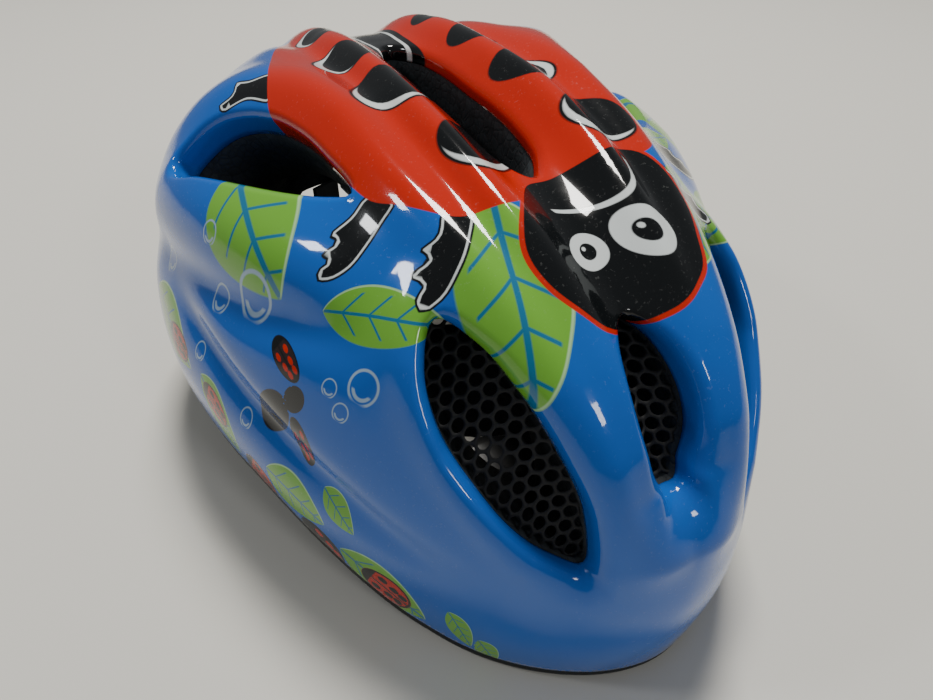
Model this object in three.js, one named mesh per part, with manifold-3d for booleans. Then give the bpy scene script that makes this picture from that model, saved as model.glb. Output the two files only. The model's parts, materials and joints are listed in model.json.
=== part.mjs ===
// A child's cycling helmet with in-moulded shell, foam liner, bug meshes, pads, dial fit system and straps.
// Millimetres, +Z up. The front of the helmet is -Y and the wearer's left is +X.
import * as THREE from 'three';
import { mergeVertices } from 'three/addons/utils/BufferGeometryUtils.js';
import Module from 'manifold-3d';

const wasm = await Module();
wasm.setup();

// ---------- driving dimensions ----------
const GAP = 0.3;                       // clearance between pieces that touch
const DOME_CENTRE = new THREE.Vector3(0, 37, 30);
const HALF_WIDTH = 100;
const FRONT_REACH = 168;               // from the dome centre to the brim
const REAR_REACH = 97.7;
const DOME_RISE = 104;                 // from the dome centre to the crown
const DOME_DROP = 170;                 // sets how far the wall leans in below the centre
const PLAN_POWER = 1.8;
const PROFILE_POWER = 2.5;
const SHELL_THICK = 1.6;
const TRIM_HEIGHT = 4.4;               // the edge trim under the shell and the liner
const TRIM_GAP = 1.7;                  // wider than GAP, because the rim climbs steeply over the ears
const SIDE_ARCH = 31;                  // how far the rim rises over the ears
const REAR_ARCH = 46;                  // how far the rim rises over the dial
const CAVITY_CENTRE = new THREE.Vector3(0, 10, 30);
const CAVITY = { halfWidth: 77, reach: 99, rise: 78, drop: 400, planPower: 2.2, profilePower: 2.3 };
const RING_SEGMENTS = 60;
const SHELL_RINGS = 15;
const CAVITY_RINGS = 8;
const DIAL_AXIS_Z = 18.5;
const DIAL_RADIUS = 16;
const PITCH_RADIUS = 6;                // of the pinion that drives both racks
const CRADLE_Y = 90;                   // inner face of the rear cradle at the centre
const WEB_WIDTH = 15;
const WEB_THICK = 1.2;
const STRAP_ROOTS = [[75.2, -30], [74.6, 27]];   // where the front and rear straps leave the liner

const BLUE = 0x1163c4;
const BLACK = 0x15181b;
const FOAM = 0x2e373b;
const GREY = 0x3c4146;

// ---------- small helpers ----------
const vec = (x, y, z) => new THREE.Vector3(x, y, z);
const radians = THREE.MathUtils.degToRad;
const smooth = THREE.MathUtils.smoothstep;

function direction(azimuth, elevation) {
  const a = radians(azimuth);
  const e = radians(elevation);
  return vec(Math.sin(a) * Math.cos(e), -Math.cos(a) * Math.cos(e), Math.sin(e));
}

function closed(geometry) {
  const bare = geometry.clone();
  bare.deleteAttribute('normal');
  bare.deleteAttribute('uv');
  const merged = mergeVertices(bare, 1e-4);
  return signedVolume(merged) < 0 ? flipped(merged) : merged;
}

function signedVolume(geometry) {
  const p = geometry.attributes.position;
  const index = geometry.index.array;
  let total = 0;
  for (let i = 0; i < index.length; i += 3) {
    const [a, b, c] = [0, 1, 2].map((k) => new THREE.Vector3().fromBufferAttribute(p, index[i + k]));
    total += a.dot(b.cross(c));
  }
  return total / 6;
}

function flipped(geometry) {
  const index = geometry.index.array;
  for (let i = 0; i < index.length; i += 3) {
    [index[i], index[i + 1]] = [index[i + 1], index[i]];
  }
  return geometry;
}

function toManifold(geometry) {
  const g = closed(geometry);
  return new wasm.Manifold(new wasm.Mesh({
    numProp: 3,
    vertProperties: new Float32Array(g.attributes.position.array),
    triVerts: new Uint32Array(g.index.array),
  }));
}

function fromManifold(solid) {
  const mesh = solid.getMesh();
  const g = new THREE.BufferGeometry();
  g.setAttribute('position', new THREE.BufferAttribute(new Float32Array(mesh.vertProperties), 3));
  g.setIndex(new THREE.BufferAttribute(new Uint32Array(mesh.triVerts), 1));
  return g;
}

function cut(body, ...tools) {
  return fromManifold(tools.reduce((solid, t) => solid.subtract(toManifold(t)), toManifold(body)));
}

function join(...pieces) {
  return fromManifold(pieces.slice(1).reduce((s, p) => s.add(toManifold(p)), toManifold(pieces[0])));
}

function common(a, b) {
  return fromManifold(toManifold(a).intersect(toManifold(b)));
}

// A skin through rings of points. A ring of one point is a pole. With round true the last ring meets the first.
// Before the ring number turn, each quad is split the other way, so two skins of one wall split alike.
function loft(rings, round = false, turn = 0) {
  const points = rings.flat();
  const start = [];
  rings.reduce((n, ring) => { start.push(n); return n + ring.length; }, 0);
  const faces = [];
  const last = round ? rings.length : rings.length - 1;
  for (let r = 0; r < last; r += 1) {
    const s = (r + 1) % rings.length;
    const [a, b] = [rings[r].length, rings[s].length];
    for (let i = 0; i < Math.max(a, b); i += 1) {
      const j = (i + 1) % Math.max(a, b);
      const [a0, a1] = [start[r] + (i % a), start[r] + (j % a)];
      const [b0, b1] = [start[s] + (i % b), start[s] + (j % b)];
      const [c, d] = r < turn ? [b1, a0] : [b0, a1];
      if (a > 1) faces.push(a0, a1, c);
      if (b > 1) faces.push(d, b1, b0);
    }
  }
  const g = new THREE.BufferGeometry().setFromPoints(points);
  g.setIndex(faces);
  return g;
}

function centreOf(points) {
  return points.reduce((sum, p) => sum.add(p), vec(0, 0, 0)).divideScalar(points.length);
}

// A bar through sections, with a cap at each end.
function bar(sections) {
  return loft([[centreOf(sections[0])], ...sections, [centreOf(sections.at(-1))]]);
}

function box(width, depth, height, x, y, z) {
  return new THREE.BoxGeometry(width, depth, height).translate(x, y, z);
}

// A cylinder along Y between two places.
function discY(radius, y0, y1, x, z, sides = 24) {
  const g = new THREE.CylinderGeometry(radius, radius, y1 - y0, sides);
  return g.translate(x, (y0 + y1) / 2, z);
}

function roundedOutline(width, height, radius) {
  const [w, h, r] = [width / 2, height / 2, radius];
  const s = new THREE.Shape();
  s.moveTo(w - r, -h);
  s.absarc(w - r, -h + r, r, -Math.PI / 2, 0);
  s.absarc(w - r, h - r, r, 0, Math.PI / 2);
  s.absarc(-w + r, h - r, r, Math.PI / 2, Math.PI);
  s.absarc(-w + r, -h + r, r, Math.PI, 1.5 * Math.PI);
  return s;
}

// A plate lying flat, with its underside at z.
function plate(outline, thick, x, y, z, holes = []) {
  outline.holes = holes;
  return new THREE.ExtrudeGeometry(outline, { depth: thick, bevelEnabled: false, curveSegments: 4 })
    .translate(x, y, z);
}

// ---------- the dome ----------
function domeRadius(d) {
  const reach = d.y < 0 ? FRONT_REACH : REAR_REACH;
  const rise = d.z > 0 ? DOME_RISE : DOME_DROP;
  const plan = (Math.abs(d.x) / HALF_WIDTH) ** PLAN_POWER + (Math.abs(d.y) / reach) ** PLAN_POWER;
  const level = plan ** (PROFILE_POWER / PLAN_POWER) + (Math.abs(d.z) / rise) ** PROFILE_POWER;
  return level ** (-1 / PROFILE_POWER);
}

function onDome(point) {
  const d = point.clone().sub(DOME_CENTRE).normalize();
  return d.multiplyScalar(domeRadius(d)).add(DOME_CENTRE);
}

// Each relief line: points near the dome on the wearer's left, each with the height there. The right is a mirror.
const RELIEF = [
  { width: 9, points: [             // inner ridge, beside the centre channel
    [17, 122, 70, 0], [19, 100, 108, 1], [20, 60, 130, 0], [20, 10, 137, 3], [19, -30, 134, 4.5],
    [17, -60, 127, 5], [15, -85, 117, 5], [13, -104, 102, 5], [11, -119, 84, 5], [9, -130, 62, 2]] },
  { width: 11, points: [            // outer ridge, which turns into the arch over the rear-side vent
    [15, -129, 60, 1], [17, -118, 86, 4], [21, -104, 101, 5], [26, -86, 113, 5], [31, -66, 122, 5],
    [36, -38, 129, 5], [38, -8, 133, 5.5], [43, 12, 133, 4.5], [52, 32, 129, 3.5], [64, 48, 119, 2.5],
    [76, 60, 104, 2], [84, 70, 88, 1]] },
  { width: 15, flat: true, points: [             // centre channel
    [0, 116, 90, 0], [0, 96, 112, -5], [0, 60, 130, -8], [0, 0, 134, -9], [0, -40, 130, -8],
    [0, -70, 120, -5], [0, -95, 106, -6], [0, -118, 74, -6], [0, -128, 56, 0]] },
  { width: 6, points: [             // valley between the two ridges
    [27, 96, 104, 0], [29, 60, 126, -3], [29, 10, 134, -4], [28, -30, 130, -4], [24, -66, 122, -4],
    [20, -86, 112, -4], [17, -104, 98, -4], [14, -118, 82, -3], [12, -130, 62, 0]] },
  { width: 7, points: [             // rolled border outside the front-side vent
    [38, -60, 113, 0], [46, -69, 108, 2], [52, -80, 99, 3], [53, -90, 88, 3], [49, -102, 76, 3],
    [43, -112, 66, 3], [36, -119, 58, 2.5], [28, -125, 54, 1]] },
  { width: 7, points: [             // crease under the shoulder panel
    [90, 66, 70, 0], [93, 30, 80, -3], [88, -2, 86, -3.5], [79, -28, 90, -3.5], [70, -44, 93, -3],
    [61, -58, 94, -1.5], [55, -68, 94, 0]] },
  { width: 12, points: [            // shoulder panel over the crease
    [82, 72, 88, 0], [86, 40, 96, 2.5], [79, 4, 104, 3], [69, -24, 107, 3], [58, -46, 108, 1.5],
    [50, -60, 108, 0]] },
  { width: 6, points: [             // groove along the side
    [92, 60, 66, 0], [95, 22, 74, -1], [93, -4, 72, -2.5], [88, -28, 66, -3], [80, -50, 60, -3],
    [70, -72, 53, -2.5], [58, -94, 45, -1], [46, -108, 40, 0]] },
  { width: 15, points: [            // side panel under the groove
    [98, 50, 42, 0], [97, 10, 50, 2], [91, -30, 46, 2], [78, -62, 38, 2], [62, -90, 28, 1]] },
  { width: 24, points: [            // brim
    [58, -96, 22, 0], [40, -112, 24, 2], [22, -124, 28, 3], [0, -130, 30, 3]] },
];

function sampled(line) {
  const curve = new THREE.CatmullRomCurve3(line.points.map(([x, y, z]) => vec(x, y, z)), false, 'centripetal');
  const last = line.points.length - 1;
  const steps = last * 4;
  return Array.from({ length: steps + 1 }, (_, i) => {
    const t = i / steps;
    const k = Math.min(Math.floor(t * last), last - 1);
    const height = THREE.MathUtils.lerp(line.points[k][3], line.points[k + 1][3], t * last - k);
    return { at: onDome(curve.getPoint(t)), height };
  });
}

const LINES = RELIEF.map((line) => ({ ...line, samples: sampled(line) }));

function nearest(point, samples) {
  let best = { distance: Infinity, height: 0 };
  const target = new THREE.Vector3();
  for (let i = 0; i + 1 < samples.length; i += 1) {
    const segment = new THREE.Line3(samples[i].at, samples[i + 1].at);
    segment.closestPointToPoint(point, true, target);
    const distance = target.distanceTo(point);
    if (distance < best.distance) {
      const t = segment.closestPointToPointParameter(point, true);
      best = { distance, height: THREE.MathUtils.lerp(samples[i].height, samples[i + 1].height, t) };
    }
  }
  return best;
}

function relief(point) {
  const p = vec(Math.abs(point.x), point.y, point.z);
  return LINES.reduce((sum, line) => {
    const { distance, height } = nearest(p, line.samples);
    return sum + height * Math.exp(-((distance / line.width) ** (line.flat ? 4 : 2)));
  }, 0);
}

// A point of the outer surface along a direction from the dome centre, moved in by depth.
function surface(d, depth = 0) {
  const base = d.clone().multiplyScalar(domeRadius(d)).add(DOME_CENTRE);
  return d.clone().multiplyScalar(domeRadius(d) + relief(base) - depth).add(DOME_CENTRE);
}

// ---------- the rim ----------
// The azimuths over which the rim climbs into each arch and falls out of it.
const SIDE_ARCH_FRONT = [16, 52];
const SIDE_ARCH_BACK = [100, 131];
const REAR_ARCH_SIDE = [150, 164];

function rimHeight(azimuth) {
  const a = Math.abs(azimuth);
  const side = SIDE_ARCH * smooth(a, ...SIDE_ARCH_FRONT) * (1 - smooth(a, ...SIDE_ARCH_BACK));
  return side + REAR_ARCH * smooth(a, ...REAR_ARCH_SIDE);
}

function azimuthAt(i) {
  return -180 + (360 * i) / RING_SEGMENTS;
}

// The elevation from a centre at which a surface crosses the height z at an azimuth.
function elevationAt(azimuth, z, pointAt) {
  let [low, high] = [-50, 60];
  for (let k = 0; k < 40; k += 1) {
    const middle = (low + high) / 2;
    if (pointAt(direction(azimuth, middle), 0).z < z) low = middle;
    else high = middle;
  }
  return (low + high) / 2;
}

// The same directions serve every depth, so skins at two depths never cross.
function domeRings(depth, lift) {
  const columns = Array.from({ length: RING_SEGMENTS }, (_, i) => {
    const azimuth = azimuthAt(i);
    return { azimuth, foot: elevationAt(azimuth, rimHeight(azimuth) + lift, surface) };
  });
  const rings = [];
  for (let r = 0; r < SHELL_RINGS; r += 1) {
    const t = r / SHELL_RINGS;
    rings.push(columns.map(({ azimuth, foot }) => surface(direction(azimuth, foot + (90 - foot) * t), depth)));
  }
  rings.push([surface(vec(0, 0, 1), depth)]);
  return rings;
}

function cavityPoint(d, inset = 0) {
  const rise = d.z > 0 ? CAVITY.rise : CAVITY.drop;
  const { halfWidth, reach, planPower, profilePower } = CAVITY;
  const plan = (Math.abs(d.x) / halfWidth) ** planPower + (Math.abs(d.y) / reach) ** planPower;
  const level = plan ** (profilePower / planPower) + (Math.abs(d.z) / rise) ** profilePower;
  const r = level ** (-1 / profilePower);
  return d.clone().multiplyScalar(r - inset).add(CAVITY_CENTRE);
}

function cavityRings(lift) {
  const rings = [];
  for (let r = 0; r < CAVITY_RINGS; r += 1) {
    const t = r / CAVITY_RINGS;
    rings.push(Array.from({ length: RING_SEGMENTS }, (_, i) => {
      const azimuth = azimuthAt(i);
      const foot = elevationAt(azimuth, rimHeight(azimuth) + lift, cavityPoint);
      return cavityPoint(direction(azimuth, foot + (90 - foot) * t));
    }));
  }
  rings.push([cavityPoint(vec(0, 0, 1))]);
  return rings;
}

// ---------- vents ----------
const mirror = (points) => points.map(([x, y, z]) => [-x, y, z]);

const FRONT_SIDE_VENT = [[40, -68, 101], [46, -75, 93], [47, -85, 81], [43, -96, 70], [37, -105, 60],
  [30, -111, 54], [23, -115, 51], [22, -110, 66], [25, -101, 80], [29, -90, 91], [34, -78, 99]];
const CENTRE_VENT = [[0, -88, 101], [5, -92, 98], [8, -101, 90], [7.5, -109, 80], [5, -114, 73],
  [3, -116, 68], [-3, -116, 68], [-5, -114, 73], [-7.5, -109, 80], [-8, -101, 90], [-5, -92, 98]];
const TOP_SLOT = [[0, -46, 118], [5, -40, 120], [7.5, -25, 124], [8, 5, 126], [7.5, 30, 124],
  [5, 44, 122], [0, 50, 120], [-5, 44, 122], [-7.5, 30, 124], [-8, 5, 126], [-7.5, -25, 124], [-5, -40, 120]];
const REAR_SIDE_VENT = [[43, -28, 113], [44, -13, 116], [46, 1, 117], [50, 14, 117], [55, 25, 114],
  [61, 33, 110], [68, 38, 104], [74, 39, 98], [76, 34, 97], [70, 20, 101], [63, 2, 106], [55, -13, 109],
  [48, -24, 112]];
const REAR_VENT = [[34, 74, 118], [40, 84, 108], [45, 96, 92], [45, 104, 76], [40, 109, 66], [34, 110, 70],
  [31, 106, 84], [29, 96, 98], [29, 82, 112]];

const VENTS = [CENTRE_VENT, TOP_SLOT, FRONT_SIDE_VENT, mirror(FRONT_SIDE_VENT), REAR_SIDE_VENT,
  mirror(REAR_SIDE_VENT), REAR_VENT, mirror(REAR_VENT)];

// Directions round a vent's outline, from the dome centre, drawn in by shrink millimetres.
function ventDirections(outline, shrink) {
  const on = outline.map(([x, y, z]) => onDome(vec(x, y, z)));
  const middle = centreOf(on);
  return on.map((p) => {
    const inward = middle.clone().sub(p).normalize().multiplyScalar(shrink);
    return p.clone().add(inward).sub(DOME_CENTRE).normalize();
  });
}

const CONE_REACH = [45, 110, 190];     // distances from the dome centre, the last outside the shell

// A cone through a vent, from near the dome centre to outside the shell.
function ventCone(outline, shrink) {
  const dirs = ventDirections(outline, shrink);
  return bar(CONE_REACH.map((r) => dirs.map((d) => d.clone().multiplyScalar(r).add(DOME_CENTRE))));
}

// ---------- shell, liner and trim ----------
function outerShell() {
  const outside = domeRings(0, TRIM_HEIGHT + TRIM_GAP);
  const inside = domeRings(SHELL_THICK, TRIM_HEIGHT + TRIM_GAP);
  const blank = loft([...outside.reverse(), ...inside], false, outside.length);
  return cut(blank, ...VENTS.map((v) => ventCone(v, 0)));
}

const LINER_VENT_SHRINK = 1;           // the liner shows this much inside each hole of the shell
const POCKET_Z = 34;                   // the strap pockets reach 10 mm over and under this height

function foamLiner() {
  const outside = domeRings(SHELL_THICK + GAP, TRIM_HEIGHT + TRIM_GAP);
  const inside = cavityRings(TRIM_HEIGHT + TRIM_GAP);
  const blank = loft([...inside.reverse(), ...outside]);
  const pockets = STRAP_ROOTS.map(([x, y]) => box(6, 20, 20, x, y, POCKET_Z));
  const otherSide = pockets.map((p) => p.clone().scale(-1, 1, 1));
  return cut(blank, ...VENTS.map((v) => ventCone(v, LINER_VENT_SHRINK)), ...pockets, ...otherSide);
}

function strapAnchor(side, [x, y]) {
  return cut(box(4.6, 18, 6, x * side, y, POCKET_Z + 6.4), box(2, 14, 3, x * side, y, POCKET_Z + 4));
}

const TRIM_WIDTH = 12;
const TRIM_SETBACK = 0.6;              // from the shell's outer face
const TRIM_CHAMFER = 1.2;

// A strip that follows the rim under the shell and the outer part of the liner.
function edgeTrim() {
  const outerFeet = domeRings(TRIM_SETBACK, TRIM_HEIGHT)[0];
  const cavityFeet = cavityRings(TRIM_HEIGHT)[0];
  const sections = outerFeet.map((foot, i) => {
    const z = rimHeight(azimuthAt(i));
    const inward = cavityFeet[i].clone().sub(foot).setZ(0).normalize();
    const p = (across, up) => foot.clone().addScaledVector(inward, across).setZ(z + up);
    return [p(0, TRIM_HEIGHT), p(TRIM_CHAMFER, 0), p(TRIM_WIDTH, 0), p(TRIM_WIDTH, TRIM_HEIGHT)];
  });
  return loft(sections, true);
}

// ---------- bug meshes ----------
// Rows of points over a span of azimuths and elevations, placed by a function of direction.
function grid(azimuths, elevations, cells, pointAt) {
  return Array.from({ length: cells[1] + 1 }, (_, j) => Array.from({ length: cells[0] + 1 }, (__, i) => {
    const a = THREE.MathUtils.lerp(...azimuths, i / cells[0]);
    const e = THREE.MathUtils.lerp(...elevations, j / cells[1]);
    return pointAt(direction(a, e));
  }));
}

// A closed slab between two matching grids of points.
function slab(top, bottom) {
  const sections = top.map((row, j) => [...row, ...bottom[j].slice().reverse()]);
  const rows = sections.length;
  const count = top[0].length;
  const faces = [];
  const id = (j, k) => j * count * 2 + k;
  for (let j = 0; j + 1 < rows; j += 1) {
    for (let k = 0; k < count * 2; k += 1) {
      const n = (k + 1) % (count * 2);
      faces.push(id(j, k), id(j, n), id(j + 1, k), id(j, n), id(j + 1, n), id(j + 1, k));
    }
  }
  for (const [j, turn] of [[0, false], [rows - 1, true]]) {
    for (let k = 0; k + 1 < count; k += 1) {
      const [a, b, c, d] = [id(j, k), id(j, k + 1), id(j, 2 * count - 2 - k), id(j, 2 * count - 1 - k)];
      faces.push(...(turn ? [a, b, c, a, c, d] : [a, c, b, a, d, c]));
    }
  }
  const g = new THREE.BufferGeometry().setFromPoints(sections.flat());
  g.setIndex(faces);
  return g;
}

const MESH_DEPTH = 10;
const MESH_THICK = 1.2;
const MESH_CELL = 8.6;                 // pitch of the cells
const MESH_HOLE = 3.6;
const MESH_EDGE = 3.4;                 // solid border left round the holes
const MESH_SHRINK = 1.6;               // how far a mesh stands inside its vent's outline

// Whether a closed ring of points goes round a spot, as seen from the dome centre.
function windsRound(ring, spot) {
  const axis = spot.clone().sub(DOME_CENTRE).normalize();
  const flat = ring.map((p) => p.clone().sub(spot).projectOnPlane(axis));
  const total = flat.reduce((sum, p, i) => {
    const next = flat[(i + 1) % flat.length];
    return sum + Math.atan2(p.clone().cross(next).dot(axis), p.dot(next));
  }, 0);
  return Math.abs(total) > Math.PI;
}

function bugMesh(outline, azimuths, elevations, cells) {
  const layer = (depth) => grid(azimuths, elevations, cells, (d) => surface(d, depth));
  const patch = slab(layer(MESH_DEPTH), layer(MESH_DEPTH + MESH_THICK));
  const fitted = common(patch, ventCone(outline, MESH_SHRINK));
  const on = outline.map(([x, y, z]) => onDome(vec(x, y, z)));
  const ring = new THREE.CatmullRomCurve3(on, true).getPoints(60);
  const middle = centreOf(on);
  const normal = middle.clone().sub(DOME_CENTRE).normalize();
  const turn = new THREE.Quaternion().setFromUnitVectors(vec(0, 1, 0), normal);
  const holes = [];
  for (let row = -4; row <= 4; row += 1) {
    for (let column = -1; column <= 1; column += 1) {
      const offset = vec((column + (row % 2) / 2) * MESH_CELL, 0, row * MESH_CELL * 0.87).applyQuaternion(turn);
      const spot = middle.clone().add(offset);
      const nearby = ring.filter((p) => p.distanceTo(spot) < MESH_HOLE + MESH_EDGE).length;
      if (nearby === 0 && windsRound(ring, spot)) {
        holes.push(new THREE.CylinderGeometry(MESH_HOLE, MESH_HOLE, 60, 6).applyQuaternion(turn).translate(...spot));
      }
    }
  }
  return cut(fitted, ...holes);
}

// ---------- pads ----------
const PAD_THICK = 6;
const PAD_CLEARANCE = 1.4;

function cavityPad(azimuths, elevations, cells) {
  const layer = (inset) => grid(azimuths, elevations, cells, (d) => cavityPoint(d, inset));
  return slab(layer(PAD_CLEARANCE), layer(PAD_CLEARANCE + PAD_THICK));
}

// ---------- fit system ----------
const BAND = { halfWidth: 68, reach: 84, thick: 1.8, low: 12, high: 26, start: 72, end: 150 };

// An upright strip on an ellipse about the cavity centre, between two azimuths.
function bandStrip(from, to, steps, [low, high], halfWidth, reach, thick) {
  const sections = Array.from({ length: steps + 1 }, (_, i) => {
    const a = radians(THREE.MathUtils.lerp(from, to, i / steps));
    const p = (offset, z) => vec((halfWidth + offset) * Math.sin(a),
      CAVITY_CENTRE.y - (reach + offset) * Math.cos(a), z);
    return [p(0, low), p(thick, low), p(thick, high), p(0, high)];
  });
  return bar(sections);
}

function frontBand() {
  const strip = bandStrip(-62, 62, 20, [24, 40], 70, 90, 1.8);
  const studs = [-34, 34].map((a) => {
    const r = radians(a);
    return box(7, 3, 7, 0, 0, 0).rotateZ(r)
      .translate(72.4 * Math.sin(r), CAVITY_CENTRE.y - 92.6 * Math.cos(r), 32);
  });
  return join(strip, ...studs);
}

const GEAR_MODULE = 1.2;
const RACK = { y0: 95, y1: 97, height: 5, tooth: Math.PI * GEAR_MODULE, teeth: 8 };
const RACK_GAP = 1.3;                  // from the pitch circle to the near edge of a rack

// One arm of the headband. side is 1 on the wearer's left. Its rack runs over or under the pinion.
function bandArm(side, over) {
  const { start, end, low, high, halfWidth, reach, thick } = BAND;
  const arc = bandStrip(start * side, end * side, 12, [low, high], halfWidth, reach, thick);
  const z0 = over ? DIAL_AXIS_Z + PITCH_RADIUS + RACK_GAP : DIAL_AXIS_Z - PITCH_RADIUS - RACK_GAP - RACK.height;
  const bend = radians(end);
  const tip = vec(halfWidth * Math.sin(bend) * side, CAVITY_CENTRE.y - reach * Math.cos(bend), 0);
  const root = tip.x + 2.5 * side;
  const link = bar([
    [vec(root, tip.y - 1.6, 12.5), vec(root, tip.y + 1, 12.5), vec(root, tip.y + 1, 25.5),
      vec(root, tip.y - 1.6, 25.5)],
    [vec(32 * side, RACK.y0, z0), vec(32 * side, RACK.y1, z0), vec(32 * side, RACK.y1, z0 + RACK.height),
      vec(32 * side, RACK.y0, z0 + RACK.height)],
  ]);
  const rack = box(44, RACK.y1 - RACK.y0, 3.6, 11 * side, (RACK.y0 + RACK.y1) / 2, z0 + (over ? 3.2 : 1.8));
  const teeth = Array.from({ length: RACK.teeth }, (_, k) => {
    const x = (k - 2.4) * RACK.tooth * side;
    return box(1.7, RACK.y1 - RACK.y0, 3, x, (RACK.y0 + RACK.y1) / 2, z0 + (over ? 1.1 : 3.9));
  });
  return join(arc, link, rack, ...teeth);
}

function rearCradle() {
  const plateStrip = bandStrip(157, 203, 10, [4, 60], 66, CRADLE_Y - CAVITY_CENTRE.y, 2);
  const guideRoom = box(28, 12, 30, 0, CRADLE_Y, 62);    // between the wings, for the guide at full height
  const tongue = box(16, 2, 32, 0, CRADLE_Y + 1, 52);
  return cut(join(cut(plateStrip, guideRoom), tongue), box(6, 8, 12, 0, CRADLE_Y, 58));
}

function heightGuide() {
  const body = box(24, 10, 11, 0, CRADLE_Y + 3, 62);
  return cut(body, box(16.8, 2.8, 20, 0, CRADLE_Y + 1, 62));
}

const HOUSING = { width: 44, height: 33, depth: 10, wall: 2.5, middle: 98.2 };
const SCREW = { x: 18, up: 12.5 };     // one is up on the left and the other down on the right

function housingBase() {
  const { width, height, depth, wall, middle } = HOUSING;
  const body = box(width, depth, height, 0, middle, DIAL_AXIS_Z);
  const pocket = box(width - 2 * wall, depth, height - 2 * wall, 0, middle + 1.4, DIAL_AXIS_Z);
  const rackDoors = [1, -1].map((s) => box(8, 3.4, 7.6, s * width / 2, 96, DIAL_AXIS_Z + s * (PITCH_RADIUS + 3.8)));
  return cut(body, pocket, ...rackDoors);
}

function housingCover() {
  const body = box(HOUSING.width, 1.8, HOUSING.height, 0, 104.6, DIAL_AXIS_Z);
  const holes = [[0, DIAL_AXIS_Z, 4.4], [-SCREW.x, DIAL_AXIS_Z - SCREW.up, 1.4],
    [SCREW.x, DIAL_AXIS_Z + SCREW.up, 1.4]];
  return cut(body, ...holes.map(([x, z, r]) => discY(r, 100, 110, x, z, 16)));
}

function housingScrew(x, z) {
  const head = discY(2.6, 105.8, 107.2, x, z, 12);
  const shank = discY(1.1, 101.5, 106, x, z, 10);
  return cut(join(head, shank), box(3.4, 0.9, 0.7, x, 107.1, z));
}

const DIAL_DEPTH = 9;
const DIAL_FACE_Y = 117;

function dialKnob() {
  const outline = new THREE.Shape();
  const lobes = 14;
  const lobeDepth = 0.7;
  const steps = lobes * 4;
  for (let i = 0; i <= steps; i += 1) {
    const a = (2 * Math.PI * i) / steps;
    const r = DIAL_RADIUS - lobeDepth + lobeDepth * Math.cos(lobes * a);
    if (i === 0) outline.moveTo(r, 0);
    else outline.lineTo(r * Math.cos(a), r * Math.sin(a));
  }
  const rim = new THREE.ExtrudeGeometry(outline, { depth: DIAL_DEPTH, bevelEnabled: false })
    .rotateX(Math.PI / 2).translate(0, DIAL_FACE_Y, DIAL_AXIS_Z);
  const shaft = discY(4, 95.2, 109, 0, DIAL_AXIS_Z, 16);
  return cut(join(rim, shaft), discY(9.6, 111, 120, 0, DIAL_AXIS_Z, 28));
}

const PINION = { teeth: 2 * PITCH_RADIUS / GEAR_MODULE, root: 4.9, tip: 6.6 };

function drivePinion() {
  const s = new THREE.Shape();
  for (let i = 0; i < PINION.teeth; i += 1) {
    const a = (2 * Math.PI * i) / PINION.teeth;
    const at = (r, turn) => [r * Math.cos(a + turn), r * Math.sin(a + turn)];
    const corners = [at(PINION.root, -0.2), at(PINION.tip, -0.09), at(PINION.tip, 0.09), at(PINION.root, 0.2)];
    corners.forEach(([x, y], k) => (i + k === 0 ? s.moveTo(x, y) : s.lineTo(x, y)));
  }
  const body = new THREE.ExtrudeGeometry(s, { depth: 4, bevelEnabled: false })
    .rotateX(Math.PI / 2).translate(0, 99, DIAL_AXIS_Z);
  return cut(body, discY(4.3, 90, 102, 0, DIAL_AXIS_Z, 16));
}

// A wave washer that clicks against the pinion side of the cover.
function detentSpring() {
  const ring = discY(8.6, 101.4, 102, 0, DIAL_AXIS_Z, 24);
  const arm = box(13, 0.6, 3, 12, 101.7, DIAL_AXIS_Z);
  return cut(join(ring, arm), discY(5.6, 100, 104, 0, DIAL_AXIS_Z, 20));
}

const domedDisc = (radius, y0, y1, crown) => {
  const points = [[0, 0], [radius, 0], [radius, y1 - y0], [radius * 0.7, y1 - y0 + crown * 0.7], [0, y1 - y0 + crown]];
  return new THREE.LatheGeometry(points.map(([r, h]) => new THREE.Vector2(r, h)), 24)
    .translate(0, y0, DIAL_AXIS_Z);
};

// ---------- straps ----------
// Webbing along points, each given as place and the direction of its width.
function webbing(stations, width = WEB_WIDTH, thick = WEB_THICK) {
  const sections = stations.map(([place, across], i) => {
    const before = stations[Math.max(i - 1, 0)][0];
    const after = stations[Math.min(i + 1, stations.length - 1)][0];
    const along = vec(...after).sub(vec(...before)).normalize();
    const side = vec(...across).addScaledVector(along, -along.dot(vec(...across))).normalize();
    const normal = along.clone().cross(side).multiplyScalar(thick / 2);
    side.multiplyScalar(width / 2);
    const p = (a, b) => vec(...place).addScaledVector(side, a).addScaledVector(normal, b);
    return [p(-1, -1), p(1, -1), p(1, 1), p(-1, 1)];
  });
  return bar(sections);
}

function strapFromRim(side, [slot, y], divider) {
  const lead = y < divider[1] ? 1 : -1;
  const wide = [0, 1, 0];
  return webbing([
    [[slot * side, y, 36.8], wide],
    [[slot * side, y, 26], wide],
    [[(slot - 0.2) * side, y + lead, 16], wide],
    [[(slot - 2.8) * side, y + 3 * lead, 8], wide],
    [[(slot - 9.5) * side, y + 6 * lead, 3.4], wide],
    [[(slot - 16) * side, y + 10 * lead, 2.1], wide],
    [[(divider[0] + 9) * side, divider[1] - 11 * lead, 1.9], wide],
  ]);
}

const DIVIDER = [44, 12];

function strapDivider(side) {
  const x = DIVIDER[0] * side;
  const body = plate(roundedOutline(20, 34, 4), 5, x, DIVIDER[1], 3.4);
  const slot = (dx, dy, turn) => box(2.6, 16, 9, 0, 0, 0).rotateZ(turn).translate(x + dx * side, DIVIDER[1] + dy, 6);
  const leverRecess = box(12, 13, 4, x, DIVIDER[1] - 2, 7.8);
  return cut(body, slot(6.6, -8, 0), slot(6.6, 8, 0), slot(-7.6, 0, 0), leverRecess);
}

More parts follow.
